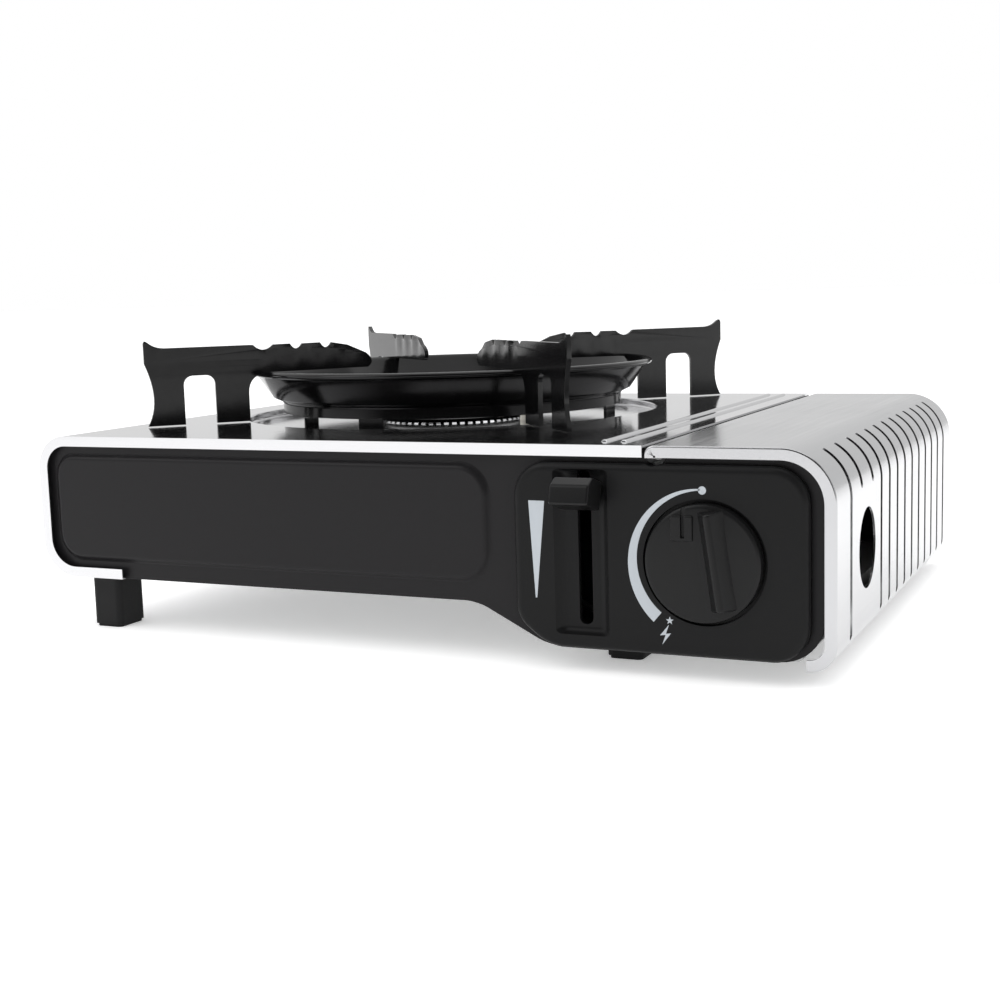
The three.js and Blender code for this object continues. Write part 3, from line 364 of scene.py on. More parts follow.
def thicken(piece: bpy.types.Object, thickness: float, offset: float = -1) -> None:
    """Gives a surface the thickness of sheet, inwards unless told otherwise."""
    activate(piece)
    modifier = piece.modifiers.new("sheet", "SOLIDIFY")
    modifier.thickness = thickness * MM
    modifier.offset = offset
    modifier.use_even_offset = True
    bpy.ops.object.modifier_apply(modifier=modifier.name)


def smooth(piece: bpy.types.Object, angle: float = 38) -> None:
    """Shades smooth across shallow edges and keeps flat faces flat."""
    activate(piece)
    bpy.ops.object.shade_smooth_by_angle(angle=math.radians(angle))
    modifier = piece.modifiers.new("weight", "WEIGHTED_NORMAL")
    modifier.keep_sharp = True
    bpy.ops.object.modifier_apply(modifier=modifier.name)


def copied(piece: bpy.types.Object, name: str) -> bpy.types.Object:
    """Copies an object with its own mesh."""
    activate(piece)
    bpy.ops.object.duplicate(linked=False)
    twin = bpy.context.active_object
    twin.name = name
    return twin


# ------------------------------------------------------------------ finishes
def socket(
    group: bpy.types.ShaderNodeTree, name: str, way: str, kind: str, value: float = 0.0,
) -> None:
    """Adds one input or output to a node group."""
    made = group.interface.new_socket(name=name, in_out=way, socket_type=kind)
    if way == "INPUT" and kind == "NodeSocketFloat":
        made.default_value = value


def grain_group() -> bpy.types.ShaderNodeTree:
    """Makes the group that gives every finish its fine grain and its worn, handled patches.

    Returns:
        A group with a Roughness, a Shade from 0 to 1 and a Height.
    """
    group = bpy.data.node_groups.new("surface_grain", "ShaderNodeTree")
    socket(group, "Vector", "INPUT", "NodeSocketVector")
    inlets = (("Grain Scale", 900.0), ("Patch Scale", 14.0), ("Low", 0.3), ("High", 0.4))
    for name, value in inlets:
        socket(group, name, "INPUT", "NodeSocketFloat", value)
    for name in ("Roughness", "Shade", "Height"):
        socket(group, name, "OUTPUT", "NodeSocketFloat")
    nodes, links = group.nodes, group.links
    inputs = nodes.new("NodeGroupInput")
    outputs = nodes.new("NodeGroupOutput")
    grain = nodes.new("ShaderNodeTexNoise")
    grain.inputs["Detail"].default_value = 4
    links.new(inputs.outputs["Vector"], grain.inputs["Vector"])
    links.new(inputs.outputs["Grain Scale"], grain.inputs["Scale"])
    patch = nodes.new("ShaderNodeTexNoise")
    patch.inputs["Detail"].default_value = 3
    coordinates = nodes.new("ShaderNodeTexCoord")
    links.new(coordinates.outputs["Object"], patch.inputs["Vector"])
    links.new(inputs.outputs["Patch Scale"], patch.inputs["Scale"])
    both = nodes.new("ShaderNodeMath")
    both.operation = "MULTIPLY_ADD"
    both.inputs[1].default_value = 0.5
    half = nodes.new("ShaderNodeMath")
    half.operation = "MULTIPLY"
    half.inputs[1].default_value = 0.5
    links.new(grain.outputs["Fac"], both.inputs[0])
    links.new(patch.outputs["Fac"], half.inputs[0])
    links.new(half.outputs[0], both.inputs[2])
    spread = nodes.new("ShaderNodeMapRange")
    spread.inputs["From Min"].default_value = 0.3
    spread.inputs["From Max"].default_value = 0.7
    links.new(both.outputs[0], spread.inputs["Value"])
    links.new(inputs.outputs["Low"], spread.inputs["To Min"])
    links.new(inputs.outputs["High"], spread.inputs["To Max"])
    links.new(spread.outputs["Result"], outputs.inputs["Roughness"])
    links.new(both.outputs[0], outputs.inputs["Shade"])
    links.new(grain.outputs["Fac"], outputs.inputs["Height"])
    return group


@dataclass(frozen=True)
class Finish:
    """One finish: its two nearly equal colours, its gloss and its grain."""

    slot: str
    dark: Colour
    light: Colour
    low: float
    high: float
    metallic: float = 0.0
    grain: Grain = Grain.EVEN
    grain_scale: float = 30.0
    bump: float = 0.0
    coat: float = 0.0
    specular: float = 0.5

    def build(self, group: bpy.types.ShaderNodeTree, name: str) -> bpy.types.Material:
        """Makes the material.

        Args:
            group: The shared grain group.
            name: The material's name.

        Returns:
            The material.
        """
        material = bpy.data.materials.new(name)
        material.use_nodes = True
        nodes, links = material.node_tree.nodes, material.node_tree.links
        shader = nodes["Principled BSDF"]
        shader.inputs["Metallic"].default_value = self.metallic
        shader.inputs["Specular IOR Level"].default_value = self.specular
        shader.inputs["Coat Weight"].default_value = self.coat
        shader.inputs["Coat Roughness"].default_value = 0.06
        coordinates = nodes.new("ShaderNodeTexCoord")
        stretch = nodes.new("ShaderNodeMapping")
        stretch.inputs["Scale"].default_value = self.grain.value
        surface = nodes.new("ShaderNodeGroup")
        surface.node_tree = group
        surface.inputs["Grain Scale"].default_value = self.grain_scale
        surface.inputs["Low"].default_value = self.low
        surface.inputs["High"].default_value = self.high
        links.new(coordinates.outputs["Object"], stretch.inputs["Vector"])
        links.new(stretch.outputs["Vector"], surface.inputs["Vector"])
        shades = nodes.new("ShaderNodeMix")
        shades.data_type = "RGBA"
        shades.inputs[6].default_value = (*self.dark, 1)
        shades.inputs[7].default_value = (*self.light, 1)
        links.new(surface.outputs["Shade"], shades.inputs[0])
        links.new(shades.outputs[2], shader.inputs["Base Color"])
        links.new(surface.outputs["Roughness"], shader.inputs["Roughness"])
        if self.bump:
            bump = nodes.new("ShaderNodeBump")
            bump.inputs["Strength"].default_value = self.bump
            bump.inputs["Distance"].default_value = 0.0001
            links.new(surface.outputs["Height"], bump.inputs["Height"])
            links.new(bump.outputs["Normal"], shader.inputs["Normal"])
        return material


FINISHES = {
    "deck_steel": Finish("stainless", (0.56, 0.56, 0.57), (0.63, 0.63, 0.64), 0.07, 0.14,
                         1.0, Grain.BRUSHED_ALONG_Y, 8.0, 0.04),
    "lid_steel": Finish("stainless", (0.45, 0.452, 0.462), (0.51, 0.512, 0.522), 0.14, 0.24,
                        1.0, Grain.BRUSHED_ALONG_Y, 8.0, 0.06),
    "ring_steel": Finish("stainless", (0.56, 0.56, 0.57), (0.66, 0.66, 0.67), 0.12, 0.22, 1.0),
    "zinc_steel": Finish("zinc_steel", (0.36, 0.37, 0.38), (0.46, 0.46, 0.45), 0.35, 0.5,
                         1.0, Grain.EVEN, 12.0, 0.1),
    "cast_alloy": Finish("cast_alloy", (0.42, 0.42, 0.41), (0.55, 0.55, 0.54), 0.4, 0.6,
                         1.0, Grain.EVEN, 40.0, 0.5),
    "brass": Finish("brass", (0.58, 0.42, 0.17), (0.66, 0.5, 0.23), 0.22, 0.34, 1.0),
    "copper_pipe": Finish("copper_pipe", (0.55, 0.3, 0.18), (0.63, 0.38, 0.24), 0.22, 0.36, 1.0),
    "black_paint": Finish("black_paint", (0.0095, 0.009, 0.0098), (0.0125, 0.0118, 0.0128),
                          0.34, 0.42, grain_scale=60.0, bump=0.12, specular=0.16),
    "black_enamel": Finish("black_enamel", (0.0025, 0.0025, 0.0027), (0.004, 0.004, 0.0043),
                           0.1, 0.17, grain_scale=9.0, bump=0.06, specular=0.32),
    "cover_plastic": Finish("cover_plastic", (0.0052, 0.0052, 0.0055), (0.0075, 0.0075, 0.0078),
                            0.34, 0.42, grain_scale=110.0, bump=0.2, specular=0.14),
    "knob_plastic": Finish("knob_plastic", (0.0058, 0.0058, 0.006), (0.0082, 0.0082, 0.0085),
                           0.26, 0.34, grain_scale=110.0, bump=0.1, specular=0.18),
    "rubber_foot": Finish("rubber_foot", (0.006, 0.006, 0.0063), (0.011, 0.011, 0.0115),
                          0.5, 0.65, grain_scale=50.0, bump=0.3, specular=0.2),
    "seal_rubber": Finish("seal_rubber", (0.008, 0.008, 0.008), (0.014, 0.014, 0.014), 0.45, 0.6),
    "lead_sleeve": Finish("lead_sleeve", (0.02, 0.02, 0.02), (0.03, 0.03, 0.03), 0.4, 0.55),
    "ceramic": Finish("ceramic", (0.72, 0.69, 0.61), (0.82, 0.79, 0.72), 0.15, 0.28,
                      grain_scale=12.0, bump=0.1, coat=0.3),
    "print_grey": Finish("cover_plastic", (0.38, 0.41, 0.44), (0.42, 0.45, 0.48), 0.4, 0.5),
}


class Palette:
    """Builds each finish once and dresses pieces and frame nodes with it."""

    def __init__(self) -> None:
        """Makes the shared group and every material."""
        self.group = grain_group()
        self.materials = {name: f.build(self.group, name) for name, f in FINISHES.items()}

    def dress(
        self, piece: bpy.types.Object, finish: str, body: str, replaces: Sequence[str] = (),
    ) -> bpy.types.Object:
        """Gives a new piece its material and body, and hides the frame nodes that it stands for.

        Args:
            piece: The piece.
            finish: A name in FINISHES.
            body: The body it moves with.
            replaces: The frame nodes that it stands for.

        Returns:
            The same piece.
        """
        piece.data.materials.clear()
        piece.data.materials.append(self.materials[finish])
        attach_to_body(piece, body)
        if replaces:
            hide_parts(*replaces)
        log.info("%s: %s on %s, %d faces", piece.name, finish, body, len(piece.data.polygons))
        return piece

    def dress_frame(self) -> None:
        """Assigns every frame node the material of its slot in the record."""
        slots = {s["node"]: s["material_slot"] for s in frame["record"]["subparts"]}
        for node, piece in frame["nodes"].items():
            finish = "ring_steel" if slots[node] == "stainless" else slots[node]
            if not piece.material_slots:
                piece.data.materials.append(self.materials[finish])
            for place in piece.material_slots:
                place.material = self.materials[finish]


# ------------------------------------------------------------------ body
@dataclass
class Body:
    """The bent stainless body sheet with its rims and drip recess."""

    palette: Palette
    right: float = 101.4
    foot: float = 23.0
    rim: float = 3.6
    top_corner: float = 14.0
    foot_corner: float = 16.0
    tab: float = 40.5
    edge: float = 0.65
    recess: float = 96.0
    recess_deep: float = 3.5
    flange: float = 3.0
    throat: float = 37.0
    electrode: tuple[float, float] = (42.03, -9.98)
    electrode_hole: float = 3.6
    ridges: tuple[float, float] = (83.5, 91.0)
    ridge_half: float = 1.5
    ridge_rise: float = 0.8
    ridge_end: float = 10.0

    def build(self) -> None:
        """Builds the sheet and its ridges."""
        shell = box("body_sheet", (LEFT, FRONT, self.foot), (self.right, REAR, DECK_TOP))
        round_corner(shell, LEFT, DECK_TOP, self.top_corner, 14)
        round_corner(shell, LEFT, self.foot, self.foot_corner, 14)
        with editing(shell, Part.FACE, lambda c, n: abs(n.y) > 0.9):
            inset_steps([(self.edge, 0), (self.rim, 0)])
            bpy.ops.mesh.delete(type="FACE")
        tab_end = LEFT + self.tab
        inner = self.right - self.rim
        low, high = self.foot + self.rim, DECK_TOP - self.rim - 2
        with editing(shell, Part.FACE, lambda c, n: n.z < -0.9 or (
                abs(n.y) > 0.9 and c.z < low + 1)):
            bpy.ops.mesh.bisect(plane_co=(tab_end * MM, 0, 0), plane_no=(1, 0, 0))
        with editing(shell, Part.FACE, lambda c, n: n.x > 0.9
                     or (c.x > tab_end and c.z < low + 2)
                     or (abs(n.y) > 0.9 and c.x > inner - 1 and c.z < high)):
            bpy.ops.mesh.delete(type="FACE")
        with editing(shell, Part.VERT, lambda p: p.z > high
                     and inner - 1.2 < p.x < self.right - 0.1):
            bpy.ops.transform.resize(value=(0, 1, 1), center_override=(self.right * MM, 0, 0))
        face_outwards(shell)
        thicken(shell, SHEET)
        self.cut_recess(shell)
        soften(shell, 0.35, 2, 50)
        smooth(shell)
        self.palette.dress(shell, "deck_steel", "body", ["top_shell"])
        for place, x in enumerate(self.ridges):
            self.ridge(f"deck_ridge_{place + 1}", x)

    def cut_recess(self, shell: bpy.types.Object) -> None:
        """Opens the deck and fits the pressed round recess into the opening."""
        radius, deep, reach = self.recess, self.recess_deep, self.recess + self.flange
        combine(shell, drum(reach, 6, (*BURNER, DECK_TOP), 2, 160), "DIFFERENCE")
        profile = [
            (reach, 0.0), (radius + 0.9, 0.0), (radius + 0.4, -0.12), (radius + 0.1, -0.4),
            (radius, -0.8), (radius, -deep + 0.9), (radius - 0.2, -deep + 0.4),
            (radius - 0.6, -deep + 0.1), (radius - 1.2, -deep), (self.throat, -deep),
            (self.throat, -deep - SHEET), (radius - 0.6, -deep - SHEET),
            (radius + 0.6, -deep - 0.2), (radius + 0.8, -SHEET), (reach, -SHEET), (reach, 0.0),
        ]
        pan = turned("pan", [(r, z + DECK_TOP) for r, z in profile], BURNER, 160)
        electrode = (BURNER[0] + self.electrode[0], BURNER[1] + self.electrode[1], DECK_TOP - deep)
        combine(pan, drum(self.electrode_hole, 20, electrode, 2, 32), "DIFFERENCE")
        attach(shell, pan)

    def ridge(self, name: str, x: float) -> None:
        """Adds one pressed ridge beside the lid, low and rounded along its top."""
        half, crest = self.ridge_half, DECK_TOP + self.ridge_rise
        bead = box(name, (x - half, FRONT + self.ridge_end, DECK_TOP - 0.3),
                   (x + half, REAR - self.ridge_end, crest))
        with editing(bead, Part.FACE, lambda c, n: n.z > 0.9):
            bpy.ops.transform.resize(value=(0.45, 0.992, 1), center_override=(
                x * MM, (FRONT + REAR) / 2 * MM, crest * MM))
        soften(bead, 0.4, 3, 20)
        smooth(bead, 60)
        self.palette.dress(bead, "deck_steel", "body")


@dataclass
class Lid:
    """The hinged cartridge lid with its vent slots and finger hole."""

    palette: Palette
    left: float = 102.2
    drop: float = 6.0
    rim: float = 3.6
    corner: float = 19.5
    foot_corner: float = 9.5
    roll: float = 3.4
    lip: float = 10.5
    edge: float = 0.65
    bend: float = 0.6
    strip: float = 6.0
    slot_width: float = 3.6
    slot_pitch: float = 16.9
    slot_first: float = 22.8
    slot_run_first: float = 78.0
    slot_run: int = 10
    slot_bottom: float = 13.0
    short_bottom: float = 64.5
    slot_reach: float = 10.0
    short_offset: float = 10.0
    hole_radius: float = 15.0
    hole_y: float = 51.5
    hole_z: float = 41.3

    def build(self) -> None:
        """Builds the lid sheet and cuts its openings."""
        lid = box("lid_sheet", (self.left, FRONT, self.drop), (RIGHT, REAR, DECK_TOP))
        round_corner(lid, RIGHT, DECK_TOP, self.corner, 20)
        round_corner(lid, RIGHT, self.drop, self.foot_corner, 12)
        round_corner(lid, self.left, DECK_TOP, self.roll, 8)
        with editing(lid, Part.FACE, lambda c, n: abs(n.y) > 0.9):
            inset_steps([(self.edge, 0), (self.rim, 0)])
            bpy.ops.mesh.delete(type="FACE")
        lip_end = RIGHT - self.lip
        level = self.drop + self.rim + 3
        with editing(lid, Part.FACE, lambda c, n: n.z < -0.9 or (abs(n.y) > 0.9 and c.z < level)):
            bpy.ops.mesh.bisect(plane_co=(lip_end * MM, 0, 0), plane_no=(1, 0, 0))
        hinge_low = DECK_TOP - self.roll - 1
        beside_hinge = self.left + self.strip
        with editing(lid, Part.FACE, lambda c, n: n.x < -0.9 or (
                abs(n.y) > 0.9 and c.x < beside_hinge)):
            bpy.ops.mesh.bisect(plane_co=(0, 0, hinge_low * MM), plane_no=(0, 0, 1))
        with editing(lid, Part.FACE, lambda c, n: (c.x < lip_end and c.z < level) or (
                c.x < beside_hinge and c.z < hinge_low - 0.5)):
            bpy.ops.mesh.delete(type="FACE")
        with editing(lid, Part.EDGE, self.on_outline):
            bpy.ops.mesh.bevel(offset=self.bend * MM, segments=4, affect="EDGES")
        thicken(lid, SHEET)
        for number in range(self.slot_run):
            self.cut(lid, self.slot_run_first + number * self.slot_pitch, self.slot_bottom)
        self.cut(lid, self.slot_first, self.slot_bottom)
        for side in (-1, 1):
            self.cut(lid, self.hole_y + side * self.short_offset, self.short_bottom)
        hole = (RIGHT, FRONT + self.hole_y, self.hole_z)
        combine(lid, drum(self.hole_radius, 12, hole, 0, 72), "DIFFERENCE")
        smooth(lid)
        self.palette.dress(lid, "lid_steel", "lid", ["cartridge_lid"])

    def on_outline(self, a: Vector, b: Vector) -> bool:
        """Whether an edge is on the bend between the sheet and one of its rims."""
        return near(abs(a.y - b.y), 0) and (near(a.y, FRONT) or near(a.y, REAR)) and (
            self.outer(a) and self.outer(b))

    def outer(self, p: Vector) -> bool:
        """Whether a point is on the lid's outer skin."""
        if near(p.z, DECK_TOP) or near(p.z, self.drop):
            return True
        if near(p.x, RIGHT) or near(p.x, self.left):
            return True
        for x, z, radius in (
                (RIGHT - self.corner, DECK_TOP - self.corner, self.corner),
                (RIGHT - self.foot_corner, self.drop + self.foot_corner, self.foot_corner),
                (self.left + self.roll, DECK_TOP - self.roll, self.roll)):
            if near(math.hypot(p.x - x, p.z - z), radius):
                return True
        return False

    def cut(self, lid: bpy.types.Object, along: float, low: float) -> None:
        """Cuts one slot, with rounded ends.

        Args:
            lid: The lid sheet.
            along: The slot's middle, from the front rim.
            low: The slot's lower end.
        """
        half = self.slot_width / 2
        y = FRONT + along
        tool = box("slot", (RIGHT - self.slot_reach, y - half, low),
                   (RIGHT + 3, y + half, DECK_TOP + 2))
        round_corner(tool, y - half, low, half * 0.98, 5, 0)
        round_corner(tool, y + half, low, half * 0.98, 5, 0)
        combine(lid, tool, "DIFFERENCE")


# ------------------------------------------------------------------ panels
def hinge_room(plane: float) -> bpy.types.Object:
    """Makes the tool for the scallop that the lid's rolled edge turns in, at a panel's plane."""
    return drum(HINGE_ROOM, 20, (HINGE[0], plane, HINGE[1]), 1, 48)


@dataclass
class Panel:
    """A black pressed panel behind the body's rim, at the front or the back."""

    palette: Palette
    name: str
    node: str
    plane: float
    outward: float
    foot: float = 22.8
    bay_foot: float = 8.0
    step_start: float = 34.0
    step_end: float = 63.0
    right: float = 165.4
    field: tuple[float, float, float, float] = (-163.5, 41.0, 29.5, 76.0)
    spindle_hole: float = 8.0

    def build(self) -> None:
        """Builds the plate, its stepped underside and its raised field."""
        left, top = LEFT + 1.2, DECK_TOP - SHEET - 0.4
        back = self.plane - self.outward * SHEET
        low_y, high_y = sorted((self.plane, back))
        plate = box(self.name, (left, low_y, self.foot), (self.step_start, high_y, top))
        with editing(plate, Part.FACE, lambda c, n: n.x > 0.9):
            push((self.step_end - self.step_start, 0, 0))
            push((self.right - self.step_end, 0, 0))
        with editing(plate, Part.VERT, lambda p: (
                p.x > self.step_start + 1 and p.z < self.foot + 1)):
            bpy.ops.transform.translate(value=(0, 0, (self.bay_foot - self.foot) * MM))
        for x, z, radius in (
                (left, top, 12.8), (left, self.foot, 14.8), (self.right, top, 16.0),
                (self.right, self.bay_foot, 16.0), (self.step_start, self.foot, 5.0),
                (self.step_end, self.bay_foot, 5.0)):
            round_corner(plate, x, z, radius, 10)
        merge_flat(plate)
        x0, x1, z0, z1 = self.field
        proud_low, proud_high = sorted((back, self.plane + self.outward * 0.02))
        field = box("field", (x0, proud_low, z0), (x1, proud_high, z1))
        for x, z, radius in ((x0, z0, 12.0), (x1, z0, 13.0), (x1, z1, 13.0), (x0, z1, 10.0)):
            round_corner(field, x, z, radius, 12)
        with editing(field, Part.FACE, lambda c, n: n.y * self.outward > 0.9):
            inset_steps([(0.5, 0.08), (0.5, 0.3), (0.5, 0.55), (0.5, 0.55), (0.6, 0.3),
                         (0.8, 0.09)])
        attach(plate, field)
        soften(plate, 0.3, 2, 60)
        self.finish(plate)

    def finish(self, plate: bpy.types.Object) -> None:
        """Cuts what passes through the panel and dresses it."""
        combine(plate, hinge_room(self.plane), "DIFFERENCE")
        if self.outward < 0:
            combine(plate, box("slot", (76.2, FRONT - 5, 16), (82.2, FRONT + 9, 74)), "DIFFERENCE")
            spindle = (KNOB[0], FRONT, KNOB[1])
            combine(plate, drum(self.spindle_hole, 20, spindle, 1, 48), "DIFFERENCE")
        smooth(plate)
        self.palette.dress(plate, "black_paint", "body", [self.node])


@dataclass
class ControlCover:
    """The moulded cover with the lever's channel and slot, and the knob's well."""

    palette: Palette
    left: float = 52.0
    right: float = 161.0
    low: float = 8.6
    high: float = 76.6
    step: float = 18.5
    step_end: float = 64.5
    face: float = -120.0
    back: float = -115.4
    rise: float = 1.77
    well: float = 22.4
    bush: float = 4.0
    deep: float = 2.6
    channel_low: Point = (66.0, -122.0, 13.0)
    channel_high: Point = (91.0, -117.4, 75.4)
    slot_x: tuple[float, float] = (76.6, 81.8)
    slot_z: tuple[float, float] = (17.4, 74.0)

    def build(self) -> None:
        """Builds the cover."""
        cover = box("cover_moulding", (self.left, self.face + self.rise, self.low),
                    (self.step_end, self.back, self.high))
        with editing(cover, Part.FACE, lambda c, n: n.x > 0.9):
            push((self.right - self.step_end, 0, 0))
        with editing(cover, Part.VERT, lambda p: p.x < self.left + 1 and p.z < self.low + 1):
            bpy.ops.transform.translate(value=(0, 0, (self.step - self.low) * MM))
        for x, z, radius in ((self.left, self.high, 13.0), (self.right, self.high, 13.0),
                             (self.right, self.low, 13.0), (self.left, self.step, 5.0),
                             (self.step_end, self.low, 6.0)):
            round_corner(cover, x, z, radius, 12)
        merge_flat(cover)
        with editing(cover, Part.VERT, everything):
            bpy.ops.mesh.remove_doubles(threshold=TINY * MM)
        with editing(cover, Part.FACE, lambda c, n: n.y < -0.9):
            inset_steps([(0.12, 0), (0.35, 0.75), (0.5, 0.5), (0.6, 0.32), (0.7, 0.15),
                         (0.8, 0.05)], even=False)
        for tool in (self.channel(), self.slot(), self.disc(self.well, self.deep),
                     self.disc(self.bush, 20.0), hinge_room(self.face)):
            combine(cover, tool, "DIFFERENCE")
        soften(cover, 0.35, 3, 45)
        smooth(cover)
        self.palette.dress(cover, "cover_plastic", "body", ["control_cover"])

    def channel(self) -> bpy.types.Object:
        """Makes the tool for the lever's channel, wider at the front than at its floor."""
        tool = box("channel", self.channel_low, self.channel_high)
        with editing(tool, Part.FACE, lambda c, n: n.y > 0.9):
            bpy.ops.transform.resize(value=(0.62, 1, 0.93), center_override=(
                0.0785, self.channel_high[1] * MM, 0.0442))
        soften(tool, 1.6, 4, 20)
        return tool

    def slot(self) -> bpy.types.Object:
        """Makes the tool for the lever's slot, with round ends."""
        (x0, x1), (z0, z1) = self.slot_x, self.slot_z
        tool = box("lever_slot", (x0, self.face - 4, z0), (x1, self.back + 4, z1))
        for x in self.slot_x:
            for z in self.slot_z:
                round_corner(tool, x, z, 2.5, 6)
        return tool

    def disc(self, radius: float, deep: float) -> bpy.types.Object:
        """Makes a round tool about the knob's axis, sunk a depth into the face."""
        middle = (KNOB[0], self.face + (deep - 4) / 2, KNOB[1])
        return drum(radius, deep + 4, middle, 1, 96)


@dataclass
class Marks:
    """Printed symbols: the flame scale round the knob, the lock wedge, a star and a bolt."""

    palette: Palette
    face: float = -120.0
    lift: float = 0.05
    film: float = 0.02
    dot: tuple[float, float] = (123.9, 68.0)
    dot_radius: float = 1.45
    scale_span: tuple[float, float] = (93.0, 229.5)
    star: tuple[float, float] = (111.6, 21.4)
    star_radii: tuple[float, float] = (1.5, 0.62)

    def stamp(self, name: str, points: Profile) -> None:
        """Prints one shape on the cover.

        Args:
            name: The piece's name.
            points: Its outline in x and z, in order.
        """
        mark = flat_plate(name, points, self.film, self.face - self.lift)
        self.palette.dress(mark, "print_grey", "body")

    def build(self) -> None:
        """Prints every mark."""
        self.stamp("mark_off_dot", arc(*self.dot, self.dot_radius, 0, 360, 28)[:-1])
        self.stamp("mark_flame_scale", self.flame_scale())
        star = []
        for k in range(10):
            radius = self.star_radii[k % 2]
            angle = math.pi / 2 + math.tau * k / 10
            star.append((self.star[0] + radius * math.cos(angle),
                         self.star[1] + radius * math.sin(angle)))
        self.stamp("mark_spark", star)
        self.stamp("mark_bolt", [(111.3, 20.0), (107.9, 15.9), (110.0, 16.2), (108.7, 12.6),
                                 (112.0, 16.9), (110.1, 16.6)])
        self.stamp("mark_lock_wedge", [(58.4, 62.6), (64.7, 62.6), (61.0, 26.8), (60.4, 26.8)])

    def flame_scale(self) -> Profile:
        """Gives the scale's outline, a crescent that widens towards the high flame."""
        start, end = (math.radians(a) for a in self.scale_span)
        outer, inner = [], []
        steps = 44
        for k in range(steps + 1):
            share = k / steps
            angle = start + (end - start) * share
            for side, radius in ((outer, 25.9 + 3.0 * share ** 0.8), (inner, 25.4 - 1.1 * share)):
                side.append((KNOB[0] + radius * math.cos(angle),
                             KNOB[1] + radius * math.sin(angle)))
        return outer + inner[::-1]


# ------------------------------------------------------------------ knob and lever
@dataclass
class Knob:
    """The gas knob: a shallow disc with a leaning grip ridge and a small pointer."""

    palette: Palette
    radius: float = 21.0
    disc_front: float = -123.0
    back: float = -118.4
    crest: float = -128.6
    lean: float = -8.0

    def build(self) -> None:
        """Builds the knob."""
        rise = self.back - self.disc_front
        edge = self.radius
        profile = [(4.0, 0.0), (edge, 0.0), (edge, rise - 1.0), (edge - 0.3, rise - 0.45),
                   (edge - 0.9, rise - 0.1), (edge - 1.6, rise), (edge - 6, rise + 0.25),
                   (8.0, rise + 0.45), (2.0, rise + 0.5)]
        knob = turned("knob_moulding", profile, (0, 0), 112)
        stand_forward(knob, (KNOB[0], self.back, KNOB[1]))
        combine(knob, self.grip(), "UNION")
        combine(knob, self.pointer(), "UNION")
        combine(knob, self.groove(), "DIFFERENCE")
        soften(knob, 0.35, 3, 30)
        smooth(knob)
        self.palette.dress(knob, "knob_plastic", "knob", ["knob"])

    def grip(self) -> bpy.types.Object:
        """Makes the grip: a leaning ridge with a narrow crest."""
        x, z = KNOB
        base = self.disc_front + 0.6
        grip = box("grip", (x + 0.6, self.crest, z - 17.2), (x + 10.6, base, z + 18.2))
        with editing(grip, Part.FACE, lambda c, n: n.y < -0.9):
            bpy.ops.transform.resize(value=(0.2, 1, 0.96), center_override=(
                (x + 5.6) * MM, self.crest * MM, z * MM))
        soften(grip, 0.9, 4, 20)
        pivot = Matrix.Translation((x * MM, 0, z * MM))
        turn = Matrix.Rotation(math.radians(self.lean), 4, "Y")
        grip.data.transform(pivot @ turn @ pivot.inverted())
        return grip

    def pointer(self) -> bpy.types.Object:
        """Makes the low raised tab at the head of the dial."""
        x, z = KNOB[0] - 7.0, KNOB[1] + 12.4
        tab = box("pointer", (x - 4.2, self.disc_front - 0.9, z - 4.6),
                  (x + 4.2, self.disc_front + 1, z + 4.6))
        soften(tab, 0.8, 3, 20)
        return tab

    def groove(self) -> bpy.types.Object:
        """Makes the tool for the groove down the middle of the tab."""
        x, z = KNOB[0] - 6.6, KNOB[1] + 13.0
        tool = box("groove", (x - 0.75, self.disc_front - 3, z - 4.0),
                   (x + 0.75, self.disc_front + 0.6, z + 7.0))
        soften(tool, 0.3, 2, 20)
        return tool


@dataclass
class LeverCap:
    """The lock lever's chamfered plastic cap, leaning with the raised lever."""

    palette: Palette
    x: float = 79.2
    pivot: tuple[float, float] = (-52.0, 44.0)
    arm: float = 71.0
    swing: float = 17.0
    width: float = 15.0
    height: float = 10.5
    length: float = 13.0
    chamfer: float = 3.6

    def build(self) -> None:
        """Builds the cap level, then swings it up about the lever's pin."""
        back = self.pivot[0] - self.arm
        nose = back - self.length
        half = self.width / 2
        low, high = self.pivot[1] - self.height / 2, self.pivot[1] + self.height / 2
        cap = box("lever_cap_moulding", (self.x - half, nose, low), (self.x + half, back, high))
        with editing(cap, Part.EDGE, lambda a, b: all(
                near(p.z, high) and near(p.y, nose) for p in (a, b))):
            bpy.ops.mesh.bevel(offset=self.chamfer * MM, segments=1, affect="EDGES")
        soften(cap, 0.9, 4, 30)
        turn = Matrix.Rotation(math.radians(-self.swing), 4, "X")
        pin = Matrix.Translation((0, self.pivot[0] * MM, self.pivot[1] * MM))
        cap.data.transform(pin @ turn @ pin.inverted())
        smooth(cap)
        self.palette.dress(cap, "knob_plastic", "lock_lever", ["lever_cap"])


